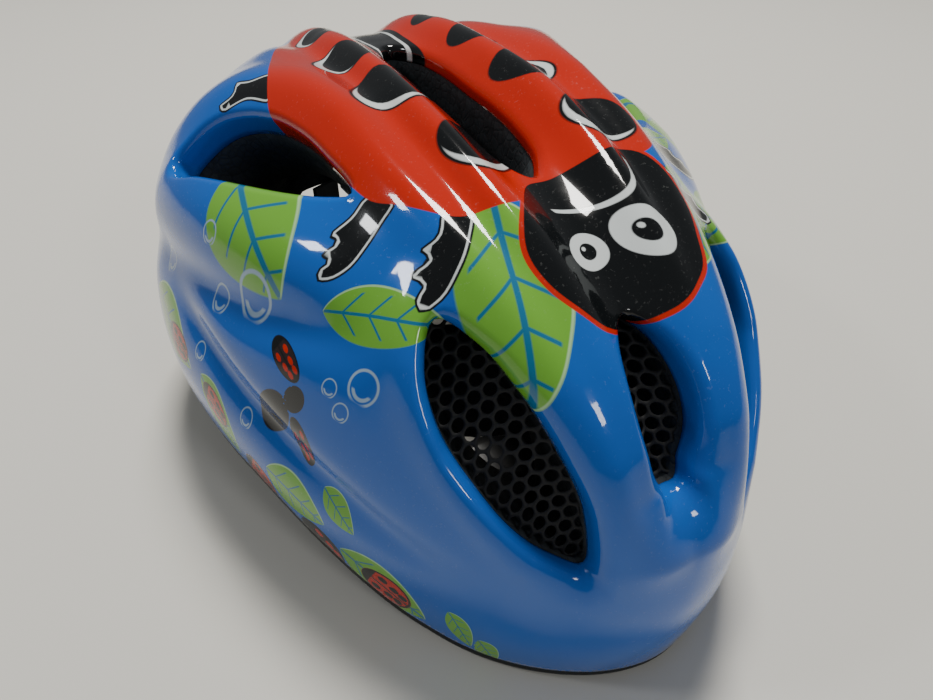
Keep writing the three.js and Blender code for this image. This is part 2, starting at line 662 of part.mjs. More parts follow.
function dividerLever(side) {
  const x = DIVIDER[0] * side;
  const flap = box(7, 12, 1.8, x + 0.5 * side, DIVIDER[1] - 2, 7.6);
  const pin = new THREE.CylinderGeometry(1, 1, 11.6, 12).translate(x - 3.6 * side, DIVIDER[1] - 2, 7.4);
  return join(flap, pin);
}

const BUCKLE_Y = -50;

const CHIN_PAD_RUN = [[34, -9], [33, -20], [31, -31]];

// A soft sleeve laid along the chin strap.
function chinPad(side) {
  return webbing(CHIN_PAD_RUN.map(([x, y]) => [[x * side, y, 4.2], [1, -0.15 * side, 0]]), 20, 3);
}

function strapKeeper(side) {
  const ring = cut(box(19, 5, 3.2, 0, 0, 0.3), box(16.4, 7, 2, 0, 0, 0));
  return ring.rotateZ(-0.15 * side).translate(32.9 * side, -21, 1.5);
}

function chinStrap(side, endX) {
  return webbing([
    [[(DIVIDER[0] - 6) * side, DIVIDER[1] + 2, 1.4], [1, 0.6 * side, 0]],
    [[(DIVIDER[0] - 9) * side, 0, 1.4], [1, 0, 0]],
    [[34 * side, -9, 1.4], [1, 0, 0]],
    [[33 * side, -20, 1.4], [1, 0, 0]],
    [[31 * side, -32, 1.4], [1, 0.3 * side, 0]],
    [[29 * side, BUCKLE_Y + 9, 1.4], [0.9, 0.6 * side, 0]],
    [[25 * side, BUCKLE_Y + 2, 1.4], [0.4, side, 0]],
    [[endX * side, BUCKLE_Y, 1.4], [0, side, 0]],
  ]);
}

function buckleFemale() {
  const body = plate(roundedOutline(27, 24, 4), 9, -8, BUCKLE_Y, 2.3);
  const mouth = box(26, 17, 5.4, -2.5, BUCKLE_Y, 6.8);
  const windows = [1, -1].map((s) => box(14.6, 6, 5.4, -7.2, BUCKLE_Y + s * 11, 6.8));
  const webSlot = box(2.6, 16, 14, -18.4, BUCKLE_Y, 6);
  return cut(body, mouth, ...windows, webSlot);
}

function buckleMale() {
  const base = plate(roundedOutline(14, 22, 3), 7.6, 13.4, BUCKLE_Y, 2.6);
  const guide = box(16, 3.4, 3.4, 0.6, BUCKLE_Y, 6.8);
  const seats = [1, -1].map((s) => box(4, 4.4, 12, 7.4, BUCKLE_Y + s * 6.2, 6.8));
  return cut(join(base, guide), ...seats, box(2.6, 16, 14, 16.4, BUCKLE_Y, 6));
}

function buckleProng(s) {
  const arm = bar([
    [vec(8.4, 4.6, 5), vec(8.4, 7.8, 5), vec(8.4, 7.8, 8.6), vec(8.4, 4.6, 8.6)],
    [vec(0, 4.6, 5), vec(0, 7.6, 5), vec(0, 7.6, 8.6), vec(0, 4.6, 8.6)],
    [vec(-3.6, 5, 5), vec(-3.6, 10.6, 5), vec(-3.6, 10.6, 8.6), vec(-3.6, 5, 8.6)],
    [vec(-10.4, 5, 5), vec(-10.4, 10.6, 5), vec(-10.4, 10.6, 8.6), vec(-10.4, 5, 8.6)],
    [vec(-14, 5, 5), vec(-14, 6.6, 5), vec(-14, 6.6, 8.6), vec(-14, 5, 8.6)],
  ]);
  return s > 0 ? arm.translate(0, BUCKLE_Y, 0) : arm.scale(1, -1, 1).translate(0, BUCKLE_Y, 0);
}

// ---------- assembly ----------
const helmet = new THREE.Group();

function add(name, geometry, color, roughness = 0.5, metalness = 0) {
  const mesh = new THREE.Mesh(closed(geometry), new THREE.MeshStandardMaterial({ color, roughness, metalness }));
  mesh.name = name;
  helmet.add(mesh);
}

add('outer_shell', outerShell(), BLUE, 0.15);
add('foam_liner', foamLiner(), FOAM, 0.9);
add('edge_trim', edgeTrim(), BLACK, 0.6);
add('bug_mesh_centre', bugMesh(CENTRE_VENT, [-8, 8], [12, 36], [2, 4]), BLACK, 0.8);
add('bug_mesh_left', bugMesh(FRONT_SIDE_VENT, [4, 32], [4, 42], [4, 5]), BLACK, 0.8);
add('bug_mesh_right', bugMesh(FRONT_SIDE_VENT, [4, 32], [4, 42], [4, 5]).scale(-1, 1, 1), BLACK, 0.8);

add('rear_pad', bandStrip(161, 199, 8, [8, 34], 59, CRADLE_Y - CAVITY_CENTRE.y - 6.6, 5.6), BLACK, 0.95);
add('front_pad', cavityPad([-30, 30], [18, 38], [8, 2]), BLACK, 0.95);
add('crown_pad_left', cavityPad([20, 160], [62, 74], [6, 2]), BLACK, 0.95);
add('crown_pad_right', cavityPad([-160, -20], [62, 74], [6, 2]), BLACK, 0.95);
add('side_pad_left', cavityPad([62, 112], [22, 46], [6, 3]), BLACK, 0.95);
add('side_pad_right', cavityPad([-112, -62], [22, 46], [6, 3]), BLACK, 0.95);

add('headband_front', frontBand(), GREY, 0.5);
add('band_arm_left', bandArm(1, true), GREY, 0.5);
add('band_arm_right', bandArm(-1, false), GREY, 0.5);
add('rear_cradle', rearCradle(), GREY, 0.5);
add('height_guide', heightGuide(), GREY, 0.5);
add('dial_housing', housingBase(), GREY, 0.5);
add('housing_cover', housingCover(), GREY, 0.5);
add('housing_screw_left', housingScrew(SCREW.x, DIAL_AXIS_Z + SCREW.up), 0xaaaaaa, 0.3, 1);
add('housing_screw_right', housingScrew(-SCREW.x, DIAL_AXIS_Z - SCREW.up), 0xaaaaaa, 0.3, 1);
add('dial_knob', dialKnob(), GREY, 0.45);
add('drive_pinion', drivePinion(), 0xd8d8d0, 0.5);
add('detent_spring', detentSpring(), 0xb0b0b0, 0.3, 1);
add('light_board', discY(8.8, 111.4, 112.2, 0, DIAL_AXIS_Z, 20), 0x1c6b3a, 0.5);
add('light_cell', discY(6.2, 112.5, 114.1, 0, DIAL_AXIS_Z, 20), 0xc8c8c8, 0.25, 1);
add('light_lens', domedDisc(9, 115.8, 117.6, 1.6), 0xc01818, 0.15);

for (const [word, side] of [['left', 1], ['right', -1]]) {
  add(`front_strap_${word}`, strapFromRim(side, STRAP_ROOTS[0], DIVIDER), BLACK, 0.85);
  add(`rear_strap_${word}`, strapFromRim(side, STRAP_ROOTS[1], DIVIDER), BLACK, 0.85);
  add(`strap_divider_${word}`, strapDivider(side), BLACK, 0.5);
  add(`divider_lever_${word}`, dividerLever(side), GREY, 0.5);
  add(`front_anchor_${word}`, strapAnchor(side, STRAP_ROOTS[0]), GREY, 0.5);
  add(`rear_anchor_${word}`, strapAnchor(side, STRAP_ROOTS[1]), GREY, 0.5);
  add(`chin_strap_${word}`, chinStrap(side, side > 0 ? 18 : 20), BLACK, 0.85);
}
add('chin_pad', chinPad(-1), BLACK, 0.9);
add('strap_keeper', strapKeeper(1), BLACK, 0.6);
add('buckle_female', buckleFemale(), BLACK, 0.45);
add('buckle_male', buckleMale(), BLACK, 0.45);
add('buckle_prong_front', buckleProng(-1), BLACK, 0.45);
add('buckle_prong_rear', buckleProng(1), BLACK, 0.45);

export default helmet;
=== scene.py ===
"""A child's cycling helmet: a printed shell, a foam liner, bug nets, pads, a dial fit system and straps."""
import contextlib
import json
import math

import bmesh
import bpy
import numpy as np
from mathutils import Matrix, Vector
from mathutils.geometry import delaunay_2d_cdt


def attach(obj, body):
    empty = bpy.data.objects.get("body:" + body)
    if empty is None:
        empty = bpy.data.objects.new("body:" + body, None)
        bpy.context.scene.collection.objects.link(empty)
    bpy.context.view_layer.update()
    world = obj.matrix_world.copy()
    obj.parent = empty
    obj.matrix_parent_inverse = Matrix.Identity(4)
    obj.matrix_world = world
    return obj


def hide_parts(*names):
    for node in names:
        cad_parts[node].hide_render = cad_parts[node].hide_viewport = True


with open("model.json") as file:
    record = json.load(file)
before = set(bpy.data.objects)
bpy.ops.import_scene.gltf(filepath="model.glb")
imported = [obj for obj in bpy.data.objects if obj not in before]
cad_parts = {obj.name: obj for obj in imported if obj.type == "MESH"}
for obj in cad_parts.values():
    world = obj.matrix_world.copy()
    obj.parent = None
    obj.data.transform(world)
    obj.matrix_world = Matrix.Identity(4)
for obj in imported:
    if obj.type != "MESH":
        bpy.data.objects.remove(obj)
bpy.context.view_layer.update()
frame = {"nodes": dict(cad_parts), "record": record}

bl_info = {
    "name": "Child's Cycling Helmet",
    "version": (1, 0, 0),
    "blender": (4, 5, 0),
    "location": "View3D > Sidebar > Helmet",
    "description": "Builds a child's cycling helmet around its packed frame",
    "category": "Object",
}

MM = 0.001

# ---------- the dome, in millimetres: the front is -Y and the wearer's left is +X ----------
DOME_CENTRE = np.array([0.0, 37.0, 30.0])
HALF_WIDTH = 100.0
FRONT_REACH = 168.0
REAR_REACH = 97.7
DOME_RISE = 104.0
DOME_DROP = 170.0
PLAN_POWER = 1.8
PROFILE_POWER = 2.5
TRIM_HEIGHT = 4.4
SIDE_ARCH = 31.0
SIDE_ARCH_START = (16, 52)     # degrees from the front, over which the side arch rises
SIDE_ARCH_END = (100, 131)     # and over which it falls
REAR_ARCH = 46.0
REAR_ARCH_START = (150, 164)
CAVITY_CENTRE = np.array([0.0, 10.0, 30.0])
CAVITY_WIDTH, CAVITY_REACH, CAVITY_RISE, CAVITY_DROP = 77.0, 99.0, 78.0, 400.0
CAVITY_PLAN_POWER = 2.2
CAVITY_PROFILE_POWER = 2.3
BATCH = 4000                   # points measured against a path at a time
HALVINGS = 30                  # steps of each search by halves

# Each relief line: its half width, its fall-off power, and points near the dome, each with the height there.
RELIEF = {
    "inner_ridge": (9, 2, [
        (17, 122, 70, 0), (19, 100, 108, 1), (20, 60, 130, 0), (20, 10, 137, 3), (19, -30, 134, 4.5),
        (17, -60, 127, 5), (15, -85, 117, 5), (13, -104, 102, 5), (11, -119, 84, 5), (9, -130, 62, 2)]),
    "outer_ridge": (11, 2, [
        (15, -129, 60, 1), (17, -118, 86, 4), (21, -104, 101, 5), (26, -86, 113, 5), (31, -66, 122, 5),
        (36, -38, 129, 5), (38, -8, 133, 5.5), (43, 12, 133, 4.5), (52, 32, 129, 3.5), (64, 48, 119, 2.5),
        (76, 60, 104, 2), (84, 70, 88, 1)]),
    "centre_channel": (15, 4, [
        (0, 116, 90, 0), (0, 96, 112, -5), (0, 60, 130, -8), (0, 0, 134, -9), (0, -40, 130, -8),
        (0, -70, 120, -5), (0, -95, 106, -6), (0, -118, 74, -6), (0, -128, 56, 0)]),
    "valley": (6, 2, [
        (27, 96, 104, 0), (29, 60, 126, -3), (29, 10, 134, -4), (28, -30, 130, -4), (24, -66, 122, -4),
        (20, -86, 112, -4), (17, -104, 98, -4), (14, -118, 82, -3), (12, -130, 62, 0)]),
    "rolled_border": (7, 2, [
        (38, -60, 113, 0), (46, -69, 108, 2), (52, -80, 99, 3), (53, -90, 88, 3), (49, -102, 76, 3),
        (43, -112, 66, 3), (36, -119, 58, 2.5), (28, -125, 54, 1)]),
    "crease": (7, 2, [
        (90, 66, 70, 0), (93, 30, 80, -3), (88, -2, 86, -3.5), (79, -28, 90, -3.5), (70, -44, 93, -3),
        (61, -58, 94, -1.5), (55, -68, 94, 0)]),
    "shoulder": (12, 2, [
        (82, 72, 88, 0), (86, 40, 96, 2.5), (79, 4, 104, 3), (69, -24, 107, 3), (58, -46, 108, 1.5),
        (50, -60, 108, 0)]),
    "side_groove": (6, 2, [
        (92, 60, 66, 0), (95, 22, 74, -1), (93, -4, 72, -2.5), (88, -28, 66, -3), (80, -50, 60, -3),
        (70, -72, 53, -2.5), (58, -94, 45, -1), (46, -108, 40, 0)]),
    "side_panel": (15, 2, [
        (98, 50, 42, 0), (97, 10, 50, 2), (91, -30, 46, 2), (78, -62, 38, 2), (62, -90, 28, 1)]),
    "brim": (24, 2, [(58, -96, 22, 0), (40, -112, 24, 2), (22, -124, 28, 3), (0, -130, 30, 3)]),
}


def direction(azimuth, elevation):
    """Unit vectors from a centre: azimuth 0 is the front, and positive turns to the wearer's left."""
    a, e = np.radians(azimuth), np.radians(elevation)
    return np.stack([np.sin(a) * np.cos(e), -np.cos(a) * np.cos(e), np.sin(e)], axis=-1)


def unit(vectors):
    return vectors / np.linalg.norm(vectors, axis=-1, keepdims=True)


def smoothstep(x, low, high):
    t = np.clip((x - low) / (high - low), 0, 1)
    return t * t * (3 - 2 * t)


def superellipsoid(d, half_width, reach, rise, plan_power, profile_power):
    """How far its surface lies from its centre along directions."""
    plan = (np.abs(d[..., 0]) / half_width) ** plan_power + (np.abs(d[..., 1]) / reach) ** plan_power
    level = plan ** (profile_power / plan_power) + (np.abs(d[..., 2]) / rise) ** profile_power
    return level ** (-1 / profile_power)


def dome_radius(d):
    reach = np.where(d[..., 1] < 0, FRONT_REACH, REAR_REACH)
    rise = np.where(d[..., 2] > 0, DOME_RISE, DOME_DROP)
    return superellipsoid(d, HALF_WIDTH, reach, rise, PLAN_POWER, PROFILE_POWER)


def on_dome(points):
    d = unit(np.asarray(points, float) - DOME_CENTRE)
    return DOME_CENTRE + d * dome_radius(d)[..., None]


def smooth_curve(points, per_span, closed=False):
    """Points of a centripetal Catmull-Rom curve."""
    p = np.asarray(points, float)
    p = np.vstack([p[-1], p, p[0], p[1]]) if closed else np.vstack([2 * p[0] - p[1], p, 2 * p[-1] - p[-2]])
    t = (np.arange(per_span) / per_span)[:, None]
    out = []
    for a, b, c, d in zip(p[:-3], p[1:-2], p[2:-1], p[3:]):
        k0, k1, k2 = (max(np.linalg.norm(y - x), 1e-6) ** 0.5 for x, y in ((a, b), (b, c), (c, d)))
        m1 = ((b - a) / k0 - (c - a) / (k0 + k1) + (c - b) / k1) * k1
        m2 = ((c - b) / k1 - (d - b) / (k1 + k2) + (d - c) / k2) * k1
        out.append(b + m1 * t + (3 * (c - b) - 2 * m1 - m2) * t ** 2 + (2 * (b - c) + m1 + m2) * t ** 3)
    return np.vstack(out if closed else [*out, p[-2:-1]])


def travel(points):
    """How far along a line each of its points lies."""
    return np.concatenate([[0], np.linalg.norm(np.diff(points, axis=0), axis=1).cumsum()])


def relief_line(width, power, points, per_span=6):
    p = np.array(points, float)
    path = on_dome(smooth_curve(p[:, :3], per_span))
    return width, power, path, np.interp(np.arange(len(path)) / per_span, np.arange(len(p)), p[:, 3])


LINES = [relief_line(*line) for line in RELIEF.values()]


def to_path(points, path):
    """Each point's nearest segment of the path, how far along it, and the distance squared."""
    step = path[1:] - path[:-1]
    t = np.clip(((points[:, None] - path[:-1]) * step).sum(2) / (step ** 2).sum(1), 0, 1)
    gap = ((points[:, None] - path[:-1] - t[..., None] * step) ** 2).sum(2)
    k = gap.argmin(1)
    rows = np.arange(len(points))
    return k, t[rows, k], gap[rows, k]


def relief(points):
    """The height of the ridges and hollows at points of the bare dome."""
    p = np.array(points, float).reshape(-1, 3)
    p[:, 0] = np.abs(p[:, 0])
    total = np.zeros(len(p))
    for width, power, path, heights in LINES:
        reach = 3 * width + 12
        near = np.flatnonzero(((p > path.min(0) - reach) & (p < path.max(0) + reach)).all(axis=1))
        for rows in np.array_split(near, len(near) // BATCH + 1):
            k, t, gap = to_path(p[rows], path)
            height = heights[k] + (heights[k + 1] - heights[k]) * t
            total[rows] += height * np.exp(-(np.sqrt(gap) / width) ** power)
    return total


def surface(d, depth=0.0):
    """Points of the outer surface along directions from the dome centre, moved in by depth."""
    r = dome_radius(d)
    height = relief(DOME_CENTRE + d * r[..., None]).reshape(r.shape)
    return DOME_CENTRE + d * (r + height - depth)[..., None]


def rim_height(azimuth):
    a = np.abs(azimuth)
    side = SIDE_ARCH * smoothstep(a, *SIDE_ARCH_START) * (1 - smoothstep(a, *SIDE_ARCH_END))
    return side + REAR_ARCH * smoothstep(a, *REAR_ARCH_START)


def cavity_point(d):
    """Points of the cavity's surface along directions from its own centre."""
    rise = np.where(d[..., 2] > 0, CAVITY_RISE, CAVITY_DROP)
    r = superellipsoid(d, CAVITY_WIDTH, CAVITY_REACH, rise, CAVITY_PLAN_POWER, CAVITY_PROFILE_POWER)
    return CAVITY_CENTRE + d * r[..., None]


def foot_elevation(azimuth, height, point_at):
    """The elevation at which a surface crosses a height, at each azimuth."""
    low, high = np.full(len(azimuth), -50.0), np.full(len(azimuth), 60.0)
    for _ in range(HALVINGS):
        middle = (low + high) / 2
        below = point_at(direction(azimuth, middle))[:, 2] < height
        low, high = np.where(below, middle, low), np.where(below, high, middle)
    return (low + high) / 2


# ---------- the film: the shell's print laid flat, in millimetres along the surface from the crown ----------
FILM_TURN, FILM_FALL = 3.0, 1.5        # degrees between the tables' rows and columns
FILM_AZIMUTHS = np.arange(-180, 181, FILM_TURN)
FILM_ELEVATIONS = np.arange(90, -46, -FILM_FALL)
FILM_STEPS = np.arange(0, 260, 1.0)


def film_tables():
    """Lengths down from the crown by azimuth and elevation, and elevations by azimuth and length."""
    a, e = np.meshgrid(FILM_AZIMUTHS, FILM_ELEVATIONS, indexing="ij")
    d = direction(a, e)
    along = np.linalg.norm(np.diff(d * dome_radius(d)[..., None], axis=1), axis=2).cumsum(axis=1)
    lengths = np.concatenate([np.zeros((len(FILM_AZIMUTHS), 1)), along], axis=1)
    back = np.array([np.interp(FILM_STEPS, row, FILM_ELEVATIONS) for row in lengths])
    return lengths, back


FILM_LENGTH, FILM_BACK = film_tables()


def bilinear(table, i, j):
    i0 = np.clip(i.astype(int), 0, table.shape[0] - 2)
    j0 = np.clip(j.astype(int), 0, table.shape[1] - 2)
    fi, fj = i - i0, j - j0
    low = table[i0, j0] * (1 - fi) + table[i0 + 1, j0] * fi
    high = table[i0, j0 + 1] * (1 - fi) + table[i0 + 1, j0 + 1] * fi
    return low * (1 - fj) + high * fj


def to_film(d):
    azimuth = np.degrees(np.arctan2(d[..., 0], -d[..., 1]))
    elevation = np.degrees(np.arcsin(np.clip(d[..., 2], -1, 1)))
    s = bilinear(FILM_LENGTH, (azimuth + 180) / FILM_TURN, (90 - elevation) / FILM_FALL)
    return np.stack([s * np.sin(np.radians(azimuth)), -s * np.cos(np.radians(azimuth))], axis=-1)


def from_film(uv):
    azimuth = np.degrees(np.arctan2(uv[..., 0], -uv[..., 1]))
    elevation = bilinear(FILM_BACK, (azimuth + 180) / FILM_TURN, np.hypot(uv[..., 0], uv[..., 1]))
    return direction(azimuth, elevation)


# ---------- vents ----------
def mirrored(points):
    return [(-x, *rest) for x, *rest in points]


def whole(half):
    """A closed outline from its half on the wearer's left, which starts on the middle."""
    return half + mirrored([point for point in reversed(half) if point[0] > 0])


FRONT_SIDE_VENT = [
    (40, -68, 101), (46, -75, 93), (47, -85, 81), (43, -96, 70), (37, -105, 60), (30, -111, 54),
    (23, -115, 51), (22, -110, 66), (25, -101, 80), (29, -90, 91), (34, -78, 99)]
CENTRE_VENT = whole([
    (0, -88, 101), (5, -92, 98), (8, -101, 90), (7.5, -109, 80), (5, -114, 73), (3, -116, 68)])
TOP_SLOT = whole([
    (0, -46, 118), (5, -40, 120), (7.5, -25, 124), (8, 5, 126), (7.5, 30, 124), (5, 44, 122), (0, 50, 120)])
REAR_SIDE_VENT = [
    (43, -28, 113), (44, -13, 116), (46, 1, 117), (50, 14, 117), (55, 25, 114), (61, 33, 110), (68, 38, 104),
    (74, 39, 98), (76, 34, 97), (70, 20, 101), (63, 2, 106), (55, -13, 109), (48, -24, 112)]
REAR_VENT = [
    (34, 74, 118), (40, 84, 108), (45, 96, 92), (45, 104, 76), (40, 109, 66), (34, 110, 70), (31, 106, 84),
    (29, 96, 98), (29, 82, 112)]

# Each vent: its outline, the roll round its edge, the ledge at its low end, and the depth of its wall.
VENTS = {
    "centre": (CENTRE_VENT, 3.5, 9.0, 8.0),
    "top": (TOP_SLOT, 2.2, 2.2, 4.5),
    "front_left": (FRONT_SIDE_VENT, 4.0, 10.0, 8.0),
    "front_right": (mirrored(FRONT_SIDE_VENT), 4.0, 10.0, 8.0),
    "side_left": (REAR_SIDE_VENT, 2.5, 2.5, 9.5),
    "side_right": (mirrored(REAR_SIDE_VENT), 2.5, 2.5, 9.5),
    "rear_left": (REAR_VENT, 2.5, 5.0, 7.0),
    "rear_right": (mirrored(REAR_VENT), 2.5, 5.0, 7.0),
}
VENT_STEP = 1.5
LEDGE_TURN = (0.1, 0.85)       # how squarely the edge faces down the film where the ledge starts and is full


class Vent:
    """A vent's outline on the film, evenly stepped, with the direction out of the vent at each step."""

    def __init__(self, outline, roll, ledge, wall):
        corners = to_film(unit(on_dome(outline) - DOME_CENTRE))
        fine = smooth_curve(corners, 12, closed=True)
        ring = np.vstack([fine, fine[:1]])
        length = travel(ring)
        count = int(length[-1] / VENT_STEP)
        at = np.arange(count) * length[-1] / count
        self.edge = np.stack([np.interp(at, length, ring[:, k]) for k in (0, 1)], axis=1)
        after = np.roll(self.edge, -1, axis=0)
        turn = after - np.roll(self.edge, 1, axis=0)
        area = (self.edge[:, 0] * after[:, 1] - after[:, 0] * self.edge[:, 1]).sum()
        self.out = unit(np.stack([turn[:, 1], -turn[:, 0]], axis=1) * np.sign(area))
        middle = self.edge.mean(axis=0)
        low = middle / np.linalg.norm(middle)
        self.roll = roll + (ledge - roll) * smoothstep(self.out @ low, *LEDGE_TURN)
        self.wall = wall

    def ring(self, spread):
        """The outline on the film, moved out by a width, which may differ from step to step."""
        return self.edge + self.out * np.reshape(spread, (-1, 1))


VENT = {name: Vent(*row) for name, row in VENTS.items()}


# ---------- meshes ----------
ROW_RISE = 0.866               # height of a row of equal triangles, as a share of their side
CLEARANCE = 0.62               # how far a field's points keep from its loops, as a share of the pitch
WELD = 2e-5
SLIVER = 1e-5


def inside(points, loop):
    """Whether each flat point lies in a closed loop."""
    x, y = points[:, 0:1], points[:, 1:2]
    a, b = loop, np.roll(loop, -1, axis=0)
    rise = np.where(b[:, 1] == a[:, 1], 1e-12, b[:, 1] - a[:, 1])
    crosses = (a[:, 1] > y) != (b[:, 1] > y)
    return (crosses & (x < a[:, 0] + (y - a[:, 1]) * (b[:, 0] - a[:, 0]) / rise)).sum(axis=1) % 2 == 1


def flat_mesh(outside, holes, pitch):
    """Triangles of a flat field inside a loop and outside the holes. The loops' points come first."""
    reach = np.abs(outside).max() + pitch
    rows = np.arange(-reach, reach, pitch * ROW_RISE)
    columns = np.arange(-reach, reach, pitch)
    x, y = np.meshgrid(columns, rows)
    x = x + (np.arange(len(rows)) % 2)[:, None] * pitch / 2
    spots = np.stack([x.ravel(), y.ravel()], axis=1)
    spots = spots[inside(spots, outside)]
    for hole in holes:
        spots = spots[~inside(spots, hole)]
    for loop in (outside, *holes):
        for part in np.array_split(loop, len(loop) // 120 + 1):
            spots = spots[((spots[:, None] - part) ** 2).sum(2).min(1) > (CLEARANCE * pitch) ** 2]
    loops = [outside, *holes]
    points = np.vstack([*loops, spots])
    edges, start = [], 0
    for loop in loops:
        edges += [(start + i, start + (i + 1) % len(loop)) for i in range(len(loop))]
        start += len(loop)
    _, _, faces, origins, _, _ = delaunay_2d_cdt([Vector(p) for p in points], edges, [], 0, 1e-7)
    source = np.array([o[0] for o in origins])
    faces = source[np.array(faces)]
    middles = points[faces].mean(axis=1)
    keep = inside(middles, outside)
    for hole in holes:
        keep &= ~inside(middles, hole)
    return points, faces[keep]


def band(first, second):
    """Quads between two rings of vertex numbers of the same length."""
    n = len(first)
    return [(first[i], first[(i + 1) % n], second[(i + 1) % n], second[i]) for i in range(n)]


class Skin:
    """Points and faces gathered ring by ring, with each point's place on the film."""

    def __init__(self):
        self.points, self.films, self.faces = [], [], []
        self.count = 0

    def put(self, points, films=None):
        """Adds points and gives their numbers."""
        self.points.append(points)
        self.films.append(np.zeros((len(points), 2)) if films is None else films)
        self.count += len(points)
        return np.arange(self.count - len(points), self.count)

    def wall(self, ring, points, films=None):
        """Adds a ring of points joined to an earlier ring, and gives its numbers."""
        lower = self.put(points, films)
        self.faces += band(ring, lower)
        return lower

    def mesh(self, name):
        return new_piece(name, np.vstack(self.points), self.faces)


@contextlib.contextmanager
def edited(mesh):
    """A mesh opened for editing and written back afterwards."""
    bm = bmesh.new()
    bm.from_mesh(mesh)
    yield bm
    bm.to_mesh(mesh)
    bm.free()


def new_piece(name, points, faces):
    """A mesh object from points in millimetres, with its faces turned outwards."""
    mesh = bpy.data.meshes.new(name)
    mesh.from_pydata((np.asarray(points) * MM).tolist(), [], [list(map(int, f)) for f in faces])
    piece = bpy.data.objects.new(name, mesh)
    bpy.context.scene.collection.objects.link(piece)
    with edited(mesh) as bm:
        bmesh.ops.recalc_face_normals(bm, faces=bm.faces)
    mesh.shade_smooth()
    return piece


BODY = {node: body for body, nodes in frame["record"]["behaviour"]["bodies"].items() for node in nodes}


def put_on(piece, node):
    """A finished piece stands for a CAD node: it rides on that node's body."""
    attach(piece, BODY[node])
    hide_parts(node)
    return piece


def only(piece):
    """Leaves one piece selected and active."""
    bpy.ops.object.select_all(action="DESELECT")
    piece.select_set(True)
    bpy.context.view_layer.objects.active = piece


def apply_modifier(piece, kind, **settings):
    """Adds a modifier and applies it at once."""
    modifier = piece.modifiers.new(kind.title(), kind)
    for key, value in settings.items():
        setattr(modifier, key, value)
    only(piece)
    bpy.ops.object.modifier_apply(modifier=modifier.name)
    return piece


def copy_node(node, name):
    """A welded copy of a CAD node's mesh, as a new piece."""
    mesh = frame["nodes"][node].data.copy()
    mesh.name = name
    mesh.materials.clear()
    piece = bpy.data.objects.new(name, mesh)
    bpy.context.scene.collection.objects.link(piece)
    with edited(mesh) as bm:
        bmesh.ops.remove_doubles(bm, verts=bm.verts, dist=WELD)
        bmesh.ops.dissolve_degenerate(bm, edges=bm.edges, dist=SLIVER)
        bmesh.ops.recalc_face_normals(bm, faces=bm.faces)
    return piece


FLAT_ANGLE, EDGE_ANGLE, SMOOTH_ANGLE = (math.radians(degrees) for degrees in (2, 35, 40))


def eased(node, name, radius):
    """A CAD node's shape with its moulded edges rounded to a radius in millimetres."""
    piece = copy_node(node, name)
    apply_modifier(piece, "DECIMATE", decimate_type="DISSOLVE", angle_limit=FLAT_ANGLE)
    apply_modifier(piece, "BEVEL", width=radius * MM, segments=2, limit_method="ANGLE",
                   angle_limit=EDGE_ANGLE, use_clamp_overlap=True, harden_normals=False)
    only(piece)
    bpy.ops.object.shade_smooth_by_angle(angle=SMOOTH_ANGLE)
    return piece


# ---------- the print on the film: places in millimetres from the crown, front at -v ----------
RED_BACK = [(-5, -93), (-12, -98), (-21, -97), (-29, -95), (-39, -84), (-44, -78), (-47, -66), (-51, -50),
            (-57, -36), (-54, -24), (-48, -10), (-41, 16), (-28, 44), (-13, 61), (0, 65), (13, 61), (28, 44),
            (41, 16), (48, -10), (54, -24), (57, -36), (51, -50), (47, -66), (44, -76), (36, -86), (28, -90),
            (20, -88), (10, -91), (2, -93)]
HEAD_PANEL = [
    (-5, -93), (2, -93), (10, -91), (20, -88), (28, -88), (32, -96), (32, -108), (28, -118), (24, -127),
    (17, -133), (8, -138), (-1, -140), (-8, -137), (-14, -129), (-18, -121), (-19, -112), (-16, -104),
    (-10, -97)]
MIDDLE_LEG = [
    (-44, -76), (-39, -83), (-44, -86), (-50, -89), (-56, -91), (-62, -90), (-65, -87), (-63, -85),
    (-60, -85), (-61, -82), (-56, -82), (-57, -79), (-50, -78)]
FRONT_LEG = [
    (-31, -92), (-24, -95), (-29, -103), (-34, -108), (-40, -112), (-46, -112), (-46, -108), (-43, -106),
    (-45, -102), (-39, -101), (-40, -98), (-35, -97)]
REAR_LEG = [(-46, -12), (-52, -22), (-58, -12), (-66, -6), (-66, -2), (-60, -4), (-57, -1), (-53, -6)]
WALL_LEG = [(-51, -22), (-56, -35), (-51, -46), (-47, -40), (-45, -30)]
SEAM = [(-4, -18), (-9, 20), (-10, 44), (-7, 60), (0, 64), (7, 60), (10, 44), (9, 20), (4, -18)]
DARK_SHAPES = [MIDDLE_LEG, FRONT_LEG, REAR_LEG, WALL_LEG]

